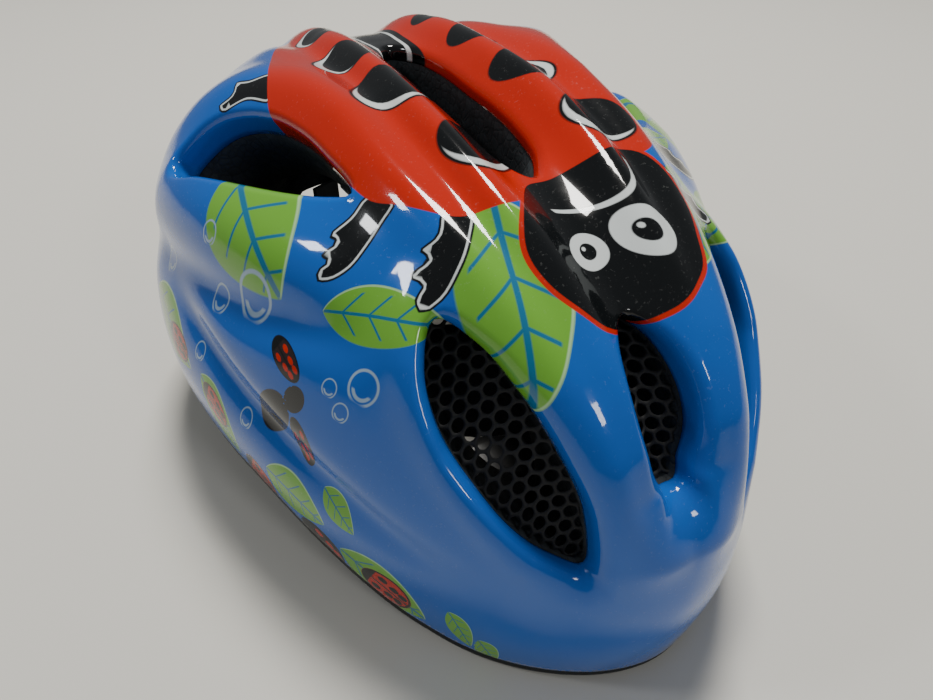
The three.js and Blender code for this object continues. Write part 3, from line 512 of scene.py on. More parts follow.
# Small prints. Long ones: centre, half length, half width, and the way they point in degrees from +u.
# Round ones: centre, radius and that angle, which the bubbles take from small_prints.
LEAVES = [
    ((-54.5, -107), 18.0, 7.5, -43), ((-74, -58), 25.0, 17.0, -98), ((-26, -121), 27.0, 13.5, -104),
    ((-134, -30), 27.0, 10.0, -90), ((-131, -83), 18.0, 7.5, -98), ((-113, -131), 17.0, 8.0, -69),
    ((-97, -146), 9.5, 4.5, -84), ((-98, -180), 24.0, 9.0, -66), ((-75, -208), 11.0, 4.5, -85),
    ((-68, -222), 8.0, 4.5, -78), ((-40, 68), 22.0, 9.0, 110), ((-96, 62), 20.0, 8.0, 75),
    ((-12, 112), 16.0, 7.0, 40)]
LEFT_LEAVES = [((35, -109), 21.0, 9.5, -121), ((50, -76), 14.0, 6.0, 24)]
BUBBLES = [
    ((-87, -46), 3.8), ((-86, -74), 8.0), ((-100, -60), 5.0), ((-117, -14), 5.0), ((-123, -60), 3.5),
    ((-116, -97), 3.5), ((-76, -113), 2.7), ((-67, -119), 4.9), ((-76.5, -120.5), 2.9), ((-88, 30), 5.0),
    ((-76, 44), 3.0), ((-60, 92), 5.0), ((-70, 100), 3.0)]
LADYBIRDS = [((-134, -41), 12.0, 5.5, -80), ((-130, -79), 10.5, 5.0, -88), ((-128, -115), 11.0, 5.0, -85),
             ((-98, -182), 13.0, 7.0, -65), ((-104, 78), 8.0, 5.0, 60)]
DARK_LADYBIRDS = [((-116, -153), 13.5, 6.0, -79), ((-85, -97), 8.0, 3.6, -85), ((-96, -120), 9.0, 3.6, -107)]
BEETLES = [((-101, -105), 9.0, 7.5, -20), ((-89, -108), 4.5, 4.0, -20)]
SPOTS = [((-25, -9), 10.0, 200), ((-21, -40), 12.0, 250), ((-11, -75), 12.0, 290), ((22, -9), 9.0, 20),
         ((22, -41), 10.0, 30), ((26, -73), 11.0, 250), ((-24, 24), 8.0, 180), ((22, 24), 8.0, 0)]
EYES = [((14, -115.5), 7.6, 80), ((-1.5, -118), 5.6, 80)]
FEELERS = [((11, -101), 15.0, 7.0, 25)]

BUBBLE, SPOT, LADYBIRD, DARK_LADYBIRD, BEETLE, EYE, LEAF, FEELER = range(1, 9)
BUBBLE_ANGLE = 30
NOWHERE = 9.0                  # a place in a print's frame that is outside every print


def flipped(rows):
    """The same prints on the wearer's left."""
    return [((-row[0][0], row[0][1]), *row[1:-1], 180 - row[-1]) for row in rows]


def round_prints(kind, rows):
    return [(kind, centre, radius, radius, angle) for centre, radius, angle in rows]


def long_prints(kind, rows):
    return [(kind, *row) for row in rows]


def small_prints():
    """Every small print but the leaves."""
    rings = [(centre, radius, BUBBLE_ANGLE) for centre, radius in BUBBLES]
    rows = round_prints(BUBBLE, rings) + round_prints(BUBBLE, flipped(rings))
    for kind, group in ((LADYBIRD, LADYBIRDS), (DARK_LADYBIRD, DARK_LADYBIRDS), (BEETLE, BEETLES)):
        rows += long_prints(kind, group) + long_prints(kind, flipped(group))
    return rows + round_prints(SPOT, SPOTS) + round_prints(EYE, EYES)


def leaf_prints():
    """The leaves and the feelers, which lie over other small prints."""
    across = [row for row in LEAVES if row[0][0] < -40]
    return long_prints(FEELER, FEELERS) + long_prints(LEAF, LEAVES + LEFT_LEAVES + flipped(across))


def signed_distance(points, outline):
    """Distance on the film to a smooth outline, positive inside it."""
    loop = smooth_curve(outline, 5, closed=True)
    _, _, gap = to_path(points, np.vstack([loop, loop[:1]]))
    return np.sqrt(gap) * np.where(inside(points, loop), 1, -1)


def lay_prints(mesh, films, name, prints, margin=1.7):
    """Gives each face the flat frame of its nearest small print, as a UV map, and that print's kind."""
    triangles = np.array([p.vertices[:] for p in mesh.polygons])
    middles = films[triangles].mean(axis=1)
    nearest = np.full(len(triangles), margin)
    owner = np.full(len(triangles), -1)
    for k, (_, centre, length, width, angle) in enumerate(prints):
        reach = np.hypot(*local_frame(middles, centre, length, width, angle).T)
        closer = reach < nearest
        nearest[closer], owner[closer] = reach[closer], k
    corners = np.full((*triangles.shape, 2), NOWHERE)
    kinds = np.zeros(len(triangles))
    for k, (kind, *place) in enumerate(prints):
        mine = owner == k
        corners[mine] = local_frame(films[triangles[mine]], *place)
        kinds[mine] = kind
    mesh.uv_layers.new(name=name).uv.foreach_set("vector", corners.ravel())
    mesh.attributes.new(name + "_kind", "FLOAT", "FACE").data.foreach_set("value", kinds)


def local_frame(points, centre, length, width, angle):
    """Flat places measured from a print's centre, in half lengths and half widths."""
    a = math.radians(angle)
    offset = points - np.array(centre, float)
    along = offset[..., 0] * math.cos(a) + offset[..., 1] * math.sin(a)
    across = offset[..., 1] * math.cos(a) - offset[..., 0] * math.sin(a)
    return np.stack([along / length, across / width], axis=-1)


def point_value(mesh, name, values):
    mesh.attributes.new(name, "FLOAT", "POINT").data.foreach_set("value", np.asarray(values, float))


# ---------- sizes and colours a user would change ----------
def size(name, description, default):
    return bpy.props.FloatProperty(name=name, description=description, default=default * MM, unit="LENGTH",
                                   precision=5)


def tint(name, description, value):
    return bpy.props.FloatVectorProperty(name=name, description=description, default=linear(value),
                                         subtype="COLOR", min=0, max=1)


def linear(value):
    """A linear colour from an sRGB hex value."""
    channels = [((value >> shift) & 255) / 255 for shift in (16, 8, 0)]
    return [c / 12.92 if c <= 0.04045 else ((c + 0.055) / 1.055) ** 2.4 for c in channels]


class ShellSettings(bpy.types.PropertyGroup):
    pitch: size("Mesh pitch", "Distance between the points of the shell's surface", 1.8)
    thickness: size("Thickness", "Thickness of the polycarbonate film", 0.8)
    blue: tint("Ground", "Colour of the printed ground", 0x0B5FBE)
    red: tint("Back", "Colour of the printed back", 0xC0230C)
    green: tint("Leaves", "Colour of the printed leaves", 0x6FAE3A)
    black: tint("Dark", "Colour of the printed dark shapes", 0x0C0F11)
    white: tint("White", "Colour of the printed lines", 0xD9E0E0)


class LinerSettings(bpy.types.PropertyGroup):
    pitch: size("Mesh pitch", "Distance between the points of the cavity's surface", 3.0)
    gap: size("Wall gap", "How far the foam's vent walls stand back from the film", 1.1)
    colour: tint("Foam", "Colour of the expanded polystyrene", 0x20262A)


class SoftSettings(bpy.types.PropertyGroup):
    swell: size("Swell", "The most that a pad's cover may move when it fills", 1.6)
    cover: tint("Pad cover", "Colour of the brushed knit", 0x1B1D20)
    webbing: tint("Webbing", "Colour of the woven straps", 0x17191B)


class MouldedSettings(bpy.types.PropertyGroup):
    band: tint("Headband", "Colour of the headband and the housing", 0x2B2E31)
    dial: tint("Dial", "Colour of the dial", 0x3C4145)
    buckle: tint("Buckle", "Colour of the buckle and dividers", 0x121314)


class StageSettings(bpy.types.PropertyGroup):
    focal: bpy.props.FloatProperty(name="Focal length", description="Camera focal length in millimetres",
                                   default=25.7, min=1)
    floor: tint("Floor", "Colour of the floor", 0xD8D6CE)


# ---------- materials ----------
def add(tree, kind, *inputs, **settings):
    """Adds a node. Its inputs fill the sockets in order, a dict among them fills sockets by number or name.
    A kind that isn't a node's own name is an operation of the Math node."""
    if not kind.startswith("ShaderNode"):
        settings["operation"], kind = kind, "ShaderNodeMath"
    node = tree.nodes.new(kind)
    for key, value in settings.items():
        setattr(node, key, value)
    for k, value in enumerate(inputs):
        for key, filled in (value.items() if isinstance(value, dict) else [(k, value)]):
            if isinstance(filled, bpy.types.Node):
                filled = next(s for s in filled.outputs if s.enabled)
            if isinstance(filled, bpy.types.NodeSocket):
                tree.links.new(filled, node.inputs[key])
            else:
                node.inputs[key].default_value = filled
    return node


def material(name, roughness, **sockets):
    """A new material and its shader, with the values that are the same all over it."""
    made = bpy.data.materials.new(name)
    made.use_nodes = True
    shader = made.node_tree.nodes["Principled BSDF"]
    shader.inputs["Roughness"].default_value = roughness
    for key, value in sockets.items():
        shader.inputs[key.replace("_", " ")].default_value = value
    return made, made.node_tree, shader


def dress(tree, shader, tone, bump):
    """Leads a colour and a bump to a shader."""
    tree.links.new(tone.outputs[2], shader.inputs["Base Color"])
    tree.links.new(bump.outputs[0], shader.inputs["Normal"])


def rgba(colour):
    return (*colour, 1.0)


def shades(colour, dark, light):
    """The two ends of a colour mix, as shares of one colour."""
    return {6: rgba(np.array(colour) * dark), 7: rgba(np.array(colour) * light)}


def crisp(tree, distance, soft):
    """1 where a distance is positive and 0 where it is negative, blurred over a small width."""
    return add(tree, "MULTIPLY_ADD", distance, 1 / soft, 0.5, use_clamp=True)


def over(tree, high, low, soft):
    """1 where one value is above another, blurred over a small width."""
    return crisp(tree, add(tree, "SUBTRACT", high, low), soft)


def apart(tree, x, y, place):
    """Distance from a place in a print's flat frame."""
    dx, dy = add(tree, "SUBTRACT", x, place[0]), add(tree, "SUBTRACT", y, place[1])
    return add(tree, "SQRT", add(tree, "MULTIPLY_ADD", dx, dx, add(tree, "MULTIPLY", dy, dy)))


def between(tree, value, low, high, soft):
    """1 where a value lies between two limits."""
    middle, half = (low + high) / 2, (high - low) / 2
    off = add(tree, "ABSOLUTE", add(tree, "SUBTRACT", value, middle))
    return over(tree, half, off, soft)


def both(tree, first, *rest):
    """1 where every mask is 1."""
    for mask in rest:
        first = add(tree, "MULTIPLY", first, mask)
    return first


def leaf_layers(tree, colours):
    """Pointed leaves with veins, and the feelers' curved strokes, each in the frame of its own print."""
    flat = add(tree, "ShaderNodeSeparateXYZ", add(tree, "ShaderNodeUVMap", uv_map="leaf"))
    kind = add(tree, "ShaderNodeAttribute", attribute_name="leaf_kind").outputs["Fac"]
    x, y = flat.outputs[0], flat.outputs[1]
    away = add(tree, "ABSOLUTE", y)
    room = add(tree, "MAXIMUM", add(tree, "MULTIPLY_ADD", x, add(tree, "MULTIPLY", x, -1.0), 1.0), 0.0)
    half = add(tree, "MULTIPLY", add(tree, "POWER", room, 0.78), add(tree, "MULTIPLY_ADD", x, -0.28, 1.0))
    depth = add(tree, "SUBTRACT", half, away)
    leaf = both(tree, over(tree, depth, 0.03, 0.05), add(tree, "COMPARE", kind, float(LEAF), 0.4))
    rib = over(tree, 0.055, away, 0.03)
    phase = add(tree, "FRACT", add(tree, "MULTIPLY_ADD", x, 2.3, add(tree, "MULTIPLY", away, -0.9)))
    side = between(tree, phase, 0.45, 0.55, 0.04)
    short = crisp(tree, add(tree, "MULTIPLY_ADD", half, 0.72, add(tree, "MULTIPLY", away, -1.0)), 0.05)
    veins = add(tree, "MAXIMUM", rib, both(tree, side, short))
    edge = both(tree, between(tree, depth, 0.0, 0.09, 0.03), crisp(tree, y, 0.1))
    leaves = [(leaf, rgba(colours.green)), (both(tree, veins, leaf), rgba(linear(0x1F6F96))),
              (both(tree, edge, leaf), rgba(linear(0xA9D49B)))]
    off = add(tree, "SUBTRACT", y, add(tree, "MULTIPLY_ADD", room, -1.2, 0.6))
    stroke = both(tree, between(tree, off, -0.12, 0.12, 0.05),
                  over(tree, room, 0.05, 0.05),
                  add(tree, "COMPARE", kind, float(FEELER), 0.4))
    return leaves, [(stroke, rgba(colours.white))]


def small_layers(tree, colours, kind, drawn):
    """The layers of the small prints of some kinds, each in the frame of its own print."""
    flat = add(tree, "ShaderNodeSeparateXYZ", add(tree, "ShaderNodeUVMap", uv_map="small"))
    x, y = flat.outputs[0], flat.outputs[1]
    r = apart(tree, x, y, (0, 0))
    away = add(tree, "ABSOLUTE", y)
    disc = over(tree, 1.0, r, 0.05)
    red, black, white = rgba(colours.red), rgba(colours.black), rgba(colours.white)

    def of_kind(number, *masks):
        near = add(tree, "COMPARE", kind, float(number), 0.4)
        return both(tree, near, *masks)

    def dots(places, radius):
        gap = apart(tree, x, away, places[0])
        for place in places[1:]:
            gap = add(tree, "MINIMUM", gap, apart(tree, x, away, place))
        return over(tree, radius, gap, 0.05)

    def ladybird(number, body, marks):
        head = over(tree, -0.62, x, 0.05)
        seam = over(tree, 0.05, away, 0.04)
        rim = over(tree, r, 0.9, 0.05)
        spots = dots([(-0.28, 0.46), (0.22, 0.36), (0.6, 0.3)], 0.19)
        return [(of_kind(number, disc), body), (of_kind(number, disc, spots), marks),
                (of_kind(number, disc, add(tree, "MAXIMUM", seam, add(tree, "MAXIMUM", head, rim))), black)]

    if drawn == "back":
        crescent = both(tree, over(tree, 0.92, r, 0.04),
                        over(tree, apart(tree, x, y, (-0.24, 0.1)), 0.95, 0.04))
        white_of_eye = both(tree, disc, over(tree, r, 0.45, 0.05))
        glint = over(tree, 0.11, apart(tree, x, y, (0.16, 0.18)), 0.05)
        return [(of_kind(SPOT, disc), black), (of_kind(SPOT, crescent), white),
                (of_kind(EYE, white_of_eye), white), (of_kind(EYE, glint), white)]
    ring = both(tree, between(tree, r, 0.84, 0.99, 0.06), crisp(tree, add(tree, "ADD", x, 0.8), 0.2))
    shine = both(tree, between(tree, r, 0.52, 0.72, 0.06), over(tree, -0.25, x, 0.1))
    bubble = add(tree, "MAXIMUM", ring, shine)
    return [(of_kind(BUBBLE, bubble), rgba(linear(0x9DB6CF))), *ladybird(LADYBIRD, red, black),
            *ladybird(DARK_LADYBIRD, rgba(linear(0x2A2021)), red),
            (of_kind(BEETLE, disc), rgba(linear(0x1C1D1F)))]


def distance_layers(tree, colours):
    """The large prints, each drawn from its distance on the film, in millimetres."""
    value = {name: add(tree, "ShaderNodeAttribute", attribute_name=name).outputs["Fac"]
             for name in ("back", "leg", "seam", "head")}
    fine = 0.25
    white, black, red = rgba(colours.white), rgba(colours.black), rgba(colours.red)
    back = [(crisp(tree, value["back"], fine), red)]
    legs = [(crisp(tree, value["leg"], fine), black), (between(tree, value["leg"], 0.6, 1.15, fine), white)]
    seam = [(crisp(tree, value["seam"], fine), black), (between(tree, value["seam"], 2.2, 3.4, fine), white)]
    head = [(crisp(tree, add(tree, "ADD", value["head"], 1.2), fine), red),
            (crisp(tree, value["head"], fine), black)]
    return legs, back + seam, head


def printed_polycarbonate(colours):
    """Vacuum-formed polycarbonate film, printed on its inside: a gloss with a little dust."""
    made, tree, shader = material("printed_polycarbonate", 0.3, Specular_IOR_Level=0.05, Coat_Weight=0.7,
                                  Coat_Roughness=0.04, Coat_IOR=1.58)
    place = add(tree, "ShaderNodeTexCoord").outputs["Object"]
    cloud = add(tree, "ShaderNodeTexNoise", {"Vector": place, "Scale": 25.0, "Detail": 2.0})
    colour = add(tree, "ShaderNodeMix", cloud, shades(colours.blue, 0.9, 1), data_type="RGBA")
    kind = add(tree, "ShaderNodeAttribute", attribute_name="small_kind").outputs["Fac"]
    legs, back, head = distance_layers(tree, colours)
    leaves, feelers = leaf_layers(tree, colours)
    layers = leaves + small_layers(tree, colours, kind, "ground") + legs + back
    for mask, tinted in layers + head + feelers + small_layers(tree, colours, kind, "back"):
        colour = add(tree, "ShaderNodeMix", mask, {6: colour, 7: tinted}, data_type="RGBA")
    speck = add(tree, "ShaderNodeTexNoise",
                {"Vector": place, "Scale": 900.0, "Detail": 4.0, "Roughness": 0.7})
    worn = add(tree, "ShaderNodeTexNoise", {"Vector": place, "Scale": 18.0, "Detail": 3.0})
    dust = both(tree, between(tree, speck, 0.64, 0.9, 0.05), between(tree, worn, 0.5, 0.9, 0.2))
    faint = add(tree, "MULTIPLY", dust, 0.07)
    colour = add(tree, "ShaderNodeMix", faint, {6: colour, 7: rgba(linear(0xC9CCC8))}, data_type="RGBA")
    rough = add(tree, "MULTIPLY_ADD", dust, 0.35, 0.17)
    tree.links.new(rough.outputs[0], shader.inputs["Roughness"])
    # Orange peel from the forming, waves about 6 mm long.
    peel = add(tree, "ShaderNodeTexNoise", {"Vector": place, "Scale": 160.0, "Detail": 1.0})
    bump = add(tree, "ShaderNodeBump", {"Height": peel, "Strength": 0.03, "Distance": 0.002})
    dress(tree, shader, colour, bump)
    return made


def grained(name, colour, roughness, grain_mm, depth, contrast=0.12, **sockets):
    """A material with fine mottled colour and a bump of a given grain."""
    made, tree, shader = material(name, roughness, **sockets)
    place = add(tree, "ShaderNodeTexCoord").outputs["Object"]
    grain = add(tree, "ShaderNodeTexNoise", {"Vector": place, "Scale": 1 / (grain_mm * MM), "Detail": 3.0})
    wide = add(tree, "ShaderNodeTexNoise", {"Vector": place, "Scale": 40.0, "Detail": 2.0})
    mixed = add(tree, "MULTIPLY_ADD", grain, 0.5, add(tree, "MULTIPLY", wide, 0.5))
    tone = add(tree, "ShaderNodeMix", mixed, shades(colour, 1 - contrast, 1 + contrast), data_type="RGBA")
    bump = add(tree, "ShaderNodeBump", {"Height": grain, "Strength": 0.5, "Distance": depth * MM})
    dress(tree, shader, tone, bump)
    return made


def expanded_polystyrene(colour):
    """Steam-moulded EPS: beads about 3 mm across, pressed flat, with dark lines where they meet."""
    made, tree, shader = material("expanded_polystyrene", 0.78)
    place = add(tree, "ShaderNodeTexCoord").outputs["Object"]
    warp = add(tree, "ShaderNodeTexNoise", {"Vector": place, "Scale": 300.0, "Detail": 1.0})
    moved = add(tree, "ShaderNodeVectorMath", warp.outputs["Color"], {"Scale": 0.0012}, operation="SCALE")
    spot = add(tree, "ShaderNodeVectorMath", place, moved, operation="ADD")
    bead = add(tree, "ShaderNodeTexVoronoi", {"Vector": spot, "Scale": 330.0}, feature="DISTANCE_TO_EDGE")
    own = add(tree, "ShaderNodeTexVoronoi", {"Vector": spot, "Scale": 330.0})
    swell = add(tree, "SMOOTH_MIN", bead, 0.16, 0.1)
    grain = add(tree, "ShaderNodeTexNoise", {"Vector": place, "Scale": 1800.0, "Detail": 3.0})
    shade = add(tree, "MULTIPLY_ADD", add(tree, "ShaderNodeSeparateXYZ", own.outputs["Color"]), 0.5,
                add(tree, "MULTIPLY", swell, 3.0))
    tone = add(tree, "ShaderNodeMix", shade, shades(colour, 0.45, 1.5), data_type="RGBA")
    height = add(tree, "MULTIPLY_ADD", grain, 0.12, swell)
    bump = add(tree, "ShaderNodeBump", {"Height": height, "Strength": 0.6, "Distance": 0.0016})
    dress(tree, shader, tone, bump)
    return made


def woven_polyester(colour):
    """Woven strap: warp ribs 0.9 mm apart along it and picks across, a little coarse so that they show."""
    made, tree, shader = material("woven_polyester", 0.72, Sheen_Weight=0.25, Sheen_Roughness=0.5)
    flat = add(tree, "ShaderNodeSeparateXYZ", add(tree, "ShaderNodeUVMap", uv_map="weave"))
    rib = add(tree, "SINE", add(tree, "MULTIPLY", flat.outputs[1], 2 * math.pi / 0.9))
    pick = add(tree, "SINE", add(tree, "MULTIPLY", flat.outputs[0], 2 * math.pi / 1.2))
    cross = add(tree, "MULTIPLY_ADD", rib, 0.3, add(tree, "MULTIPLY", add(tree, "MULTIPLY", rib, pick), 0.5))
    shade = add(tree, "MULTIPLY_ADD", cross, 0.45, 0.5, use_clamp=True)
    tone = add(tree, "ShaderNodeMix", shade, shades(colour, 0.55, 1.7), data_type="RGBA")
    bump = add(tree, "ShaderNodeBump", {"Height": cross, "Strength": 0.6, "Distance": 0.0004})
    dress(tree, shader, tone, bump)
    return made


def brushed_knit(colour):
    """Brushed loop knit over soft foam: a fine nap with a soft sheen."""
    made, tree, shader = material("brushed_knit", 0.9, Sheen_Weight=0.6, Sheen_Roughness=0.4)
    place = add(tree, "ShaderNodeTexCoord").outputs["Object"]
    nap = add(tree, "ShaderNodeTexNoise", {"Vector": place, "Scale": 1400.0, "Detail": 3.0})
    loops = add(tree, "ShaderNodeTexVoronoi", {"Vector": place, "Scale": 800.0})
    height = add(tree, "MULTIPLY_ADD", loops, -0.6, nap)
    tone = add(tree, "ShaderNodeMix", nap, shades(colour, 0.5, 2.0), data_type="RGBA")
    bump = add(tree, "ShaderNodeBump", {"Height": height, "Strength": 0.5, "Distance": 0.0006})
    dress(tree, shader, tone, bump)
    return made


# ---------- shell, liner, trim and nets ----------
RIM_LIFT = 1.0                 # the shell's edge stands this far above the trim
RIM_HEM = [(0.3, 0.5), (1.0, 0.85), (2.2, 0.9)]        # how far in and down the shell's edge turns under
RIM_TURN = 0.75                # degrees between the points of the shell's edge and the trim
ROLL_STEPS = 7
FOAM_LIFT = 0.4
FOAM_TURN = 1.5
FOAM_UNDER = 2.1               # the foam lies this far under the outer surface
FOAM_SPREAD = 1.2              # its upper field stops this far outside a vent's roll
FOAM_PITCH = 4.5


def roll_fall(vent):
    """How deep a vent's roll goes before its wall is straight."""
    return np.minimum(0.7 * vent.wall, 1.1 * vent.roll)


def roll_rings(vent, steps):
    """Rings of a vent's rolled edge and wall, as spreads on the film and depths under the surface."""
    fall = roll_fall(vent)
    for k in range(1, steps + 1):
        a = math.pi / 2 * k / steps
        yield vent.roll * (1 - math.sin(a)), fall * (1 - math.cos(a))
    for part in (0.35, 0.7, 1.0):
        yield np.zeros(len(vent.roll)), fall + (vent.wall - fall) * part


def shell_piece(settings):
    azimuths = np.arange(-180, 180, RIM_TURN)
    foot = foot_elevation(azimuths, rim_height(azimuths) + TRIM_HEIGHT + RIM_LIFT, surface)
    rim = to_film(direction(azimuths, foot))
    points, faces = flat_mesh(rim, [vent.ring(vent.roll) for vent in VENT.values()], settings.pitch / MM)
    skin = Skin()
    skin.put(surface(from_film(points)), points)
    skin.faces += faces.tolist()
    start = len(rim)
    for vent in VENT.values():
        ring = np.arange(start, start + len(vent.edge))
        start += len(vent.edge)
        for spread, depth in roll_rings(vent, ROLL_STEPS):
            film = vent.ring(spread)
            ring = skin.wall(ring, surface(from_film(film), depth), film)
    edge = skin.points[0][:len(rim)]
    inward = unit((DOME_CENTRE - edge) * [1, 1, 0])
    ring = np.arange(len(rim))
    for across, drop in RIM_HEM:
        ring = skin.wall(ring, edge + inward * across - [0, 0, drop], rim)
    piece = skin.mesh("shell_film")
    films = np.vstack(skin.films)
    with edited(piece.data) as bm:
        bmesh.ops.triangulate(bm, faces=bm.faces)
        crown = max(bm.faces, key=lambda f: f.calc_center_median().z)
        if crown.normal.z < 0:
            bmesh.ops.reverse_faces(bm, faces=bm.faces)
    piece.data.shade_smooth()
    print_shell(piece.data, films)
    apply_modifier(piece, "SOLIDIFY", thickness=settings.thickness, offset=-1)
    return piece


def print_shell(mesh, films):
    """Gives the shell's mesh what its printed material reads."""
    lay_prints(mesh, films, "leaf", leaf_prints())
    lay_prints(mesh, films, "small", small_prints())
    point_value(mesh, "back", signed_distance(films, RED_BACK))
    point_value(mesh, "head", signed_distance(films, HEAD_PANEL))
    point_value(mesh, "seam", signed_distance(films, SEAM))
    legs = DARK_SHAPES + [[(-u, v) for u, v in shape] for shape in DARK_SHAPES]
    point_value(mesh, "leg", np.max([signed_distance(films, leg) for leg in legs], axis=0))


CAVITY_PLAN = 1.35             # millimetres of flat plan to a degree from the cavity's crown
CAVITY_SEARCH = (5.0, 160.0)   # how near and how far the cavity's surface is looked for


def to_cavity_plan(points):
    """Where points lie on a flat plan of the cavity, as seen from its centre."""
    d = unit(points - CAVITY_CENTRE)
    azimuth = np.arctan2(d[:, 0], -d[:, 1])
    s = CAVITY_PLAN * (90 - np.degrees(np.arcsin(np.clip(d[:, 2], -1, 1))))
    return np.stack([s * np.sin(azimuth), -s * np.cos(azimuth)], axis=1)


def from_cavity_plan(plan):
    azimuth = np.degrees(np.arctan2(plan[:, 0], -plan[:, 1]))
    return cavity_point(direction(azimuth, 90 - np.hypot(plan[:, 0], plan[:, 1]) / CAVITY_PLAN))


def to_cavity(d):
    """How far along each direction from the dome centre the cavity's surface lies."""
    low, high = (np.full(len(d), limit) for limit in CAVITY_SEARCH)
    for _ in range(HALVINGS):
        middle = (low + high) / 2
        offset = DOME_CENTRE + d * middle[:, None] - CAVITY_CENTRE
        wall = cavity_point(unit(offset)) - CAVITY_CENTRE
        within = np.linalg.norm(offset, axis=1) < np.linalg.norm(wall, axis=1)
        low, high = np.where(within, middle, low), np.where(within, high, middle)
    return (low + high) / 2


def liner_piece(settings):
    azimuths = np.arange(-180, 180, FOAM_TURN)
    height = rim_height(azimuths) + TRIM_HEIGHT + FOAM_LIFT
    foot = direction(azimuths, foot_elevation(azimuths, height, surface))
    holes = [vent.ring(vent.roll + FOAM_SPREAD) for vent in VENT.values()]
    points, faces = flat_mesh(to_film(foot), holes, FOAM_PITCH)
    liner = Skin()
    liner.put(surface(from_film(points), FOAM_UNDER))
    liner.faces += faces.tolist()
    cavity_foot = cavity_point(direction(azimuths, foot_elevation(azimuths, height, cavity_point)))
    gap = settings.gap / MM
    walls, loops, start = [], [], len(foot)
    for vent in VENT.values():
        ring = np.arange(start, start + len(vent.edge))
        start += len(vent.edge)
        fall = roll_fall(vent)
        # Under the roll, down behind the wall, and in under the wall's lower edge.
        stages = [(0.35 * vent.roll + gap, 0.45 * fall + FOAM_UNDER), (gap, fall + FOAM_UNDER),
                  (gap, vent.wall + 0.2), (0.1, vent.wall + 0.5)]
        for spread, depth in stages:
            ring = liner.wall(ring, surface(from_film(vent.ring(spread)), depth))
        d = from_film(vent.ring(0.1))
        top = np.linalg.norm(liner.points[-1] - DOME_CENTRE, axis=1)
        bottom = np.minimum(to_cavity(d), top - 1)
        for part in (0.33, 0.66):
            reach = top + (bottom - top) * part
            ring = liner.wall(ring, DOME_CENTRE + d * reach[:, None])
        walls.append(ring)
        loops.append(to_cavity_plan(DOME_CENTRE + d * bottom[:, None]))
    plan, faces = flat_mesh(to_cavity_plan(cavity_foot), loops, settings.pitch / MM)
    inner = liner.put(from_cavity_plan(plan))
    liner.faces += inner[faces].tolist()
    liner.faces += band(np.arange(len(foot)), inner[:len(foot)])
    start = len(foot)
    for ring in walls:
        liner.faces += band(ring, inner[start:start + len(ring)])
        start += len(ring)
    return liner.mesh("foam_body")


TRIM_SETBACK = 0.6
# The tape's section: how far in from its foot and how far up from its lower side.
TRIM_PROFILE = [
    (0.6, 4.3), (-0.1, 3.6), (-0.3, 2.6), (0.0, 1.5), (0.8, 0.5), (2.0, 0.05), (4.0, 0.0), (9.0, 0.0),
    (11.0, 0.15), (11.8, 0.8), (12.0, 1.8), (11.9, 4.0), (11.4, 4.3)]


def trim_piece():
    azimuths = np.arange(-180, 180, RIM_TURN)
    base = rim_height(azimuths)
    foot = surface(direction(azimuths, foot_elevation(azimuths, base + TRIM_HEIGHT, surface)), TRIM_SETBACK)
    cavity = cavity_point(direction(azimuths, foot_elevation(azimuths, base + TRIM_HEIGHT, cavity_point)))
    inward = unit((cavity - foot) * [1, 1, 0])
    trim = Skin()
    rings = [trim.put(np.column_stack([(foot + inward * across)[:, :2], base + up]))
             for across, up in TRIM_PROFILE]
    for first, second in zip(rings, rings[1:] + rings[:1]):
        trim.faces += band(first, second)
    return trim.mesh("edge_tape")


NET_PITCH = 4.6
NET_HOLE = 0.42                # hole radius as a share of the pitch
NET_DEPTH = 10.2               # under the outer surface
NET_DIMPLE = 0.15              # the cells' holes lie this much deeper
NET_BORDER = 2.0
NET_THICKNESS = 0.8
NET_WELD = 5e-5


def net_piece(name, vent):
    """A perforated net: six-sided cells with round holes, set across a vent under the film."""
    low, high = vent.edge.min(axis=0) - NET_PITCH, vent.edge.max(axis=0) + NET_PITCH
    border = vent.ring(NET_BORDER)
    net = Skin()
    turns = np.arange(12) * math.pi / 6
    corner = NET_PITCH / math.sqrt(3)
    reach = np.where(np.arange(12) % 2, corner, NET_PITCH / 2)
    row_height = NET_PITCH * ROW_RISE
    rows = int((high[1] - low[1]) / row_height) + 1
    columns = int((high[0] - low[0]) / NET_PITCH) + 1
    for row in range(rows):
        for column in range(columns):
            centre = low + [NET_PITCH * (column + row % 2 / 2), row_height * row]
            if not inside(centre[None], border)[0]:
                continue
            spokes = np.stack([np.cos(turns), np.sin(turns)], axis=1)
            outer = net.put(surface(from_film(centre + spokes * reach[:, None]), NET_DEPTH))
            hole = centre + spokes * NET_PITCH * NET_HOLE
            inner = net.put(surface(from_film(hole), NET_DEPTH + NET_DIMPLE))
            net.faces += band(outer, inner)
    piece = net.mesh(name)
    with edited(piece.data) as bm:
        bmesh.ops.remove_doubles(bm, verts=bm.verts, dist=NET_WELD)
        bmesh.ops.recalc_face_normals(bm, faces=bm.faces)
    return apply_modifier(piece, "SOLIDIFY", thickness=NET_THICKNESS * MM, offset=0)


class HELMET_OT_shell(bpy.types.Operator):
    """Lays the printed polycarbonate film over the dome and rolls it into its vents"""
    bl_idname = "helmet.shell"
    bl_label = "Printed Shell"

    def execute(self, context):
        settings = context.scene.helmet_shell
        piece = shell_piece(settings)
        piece.data.materials.append(printed_polycarbonate(settings))
        put_on(piece, "outer_shell")
        return {"FINISHED"}


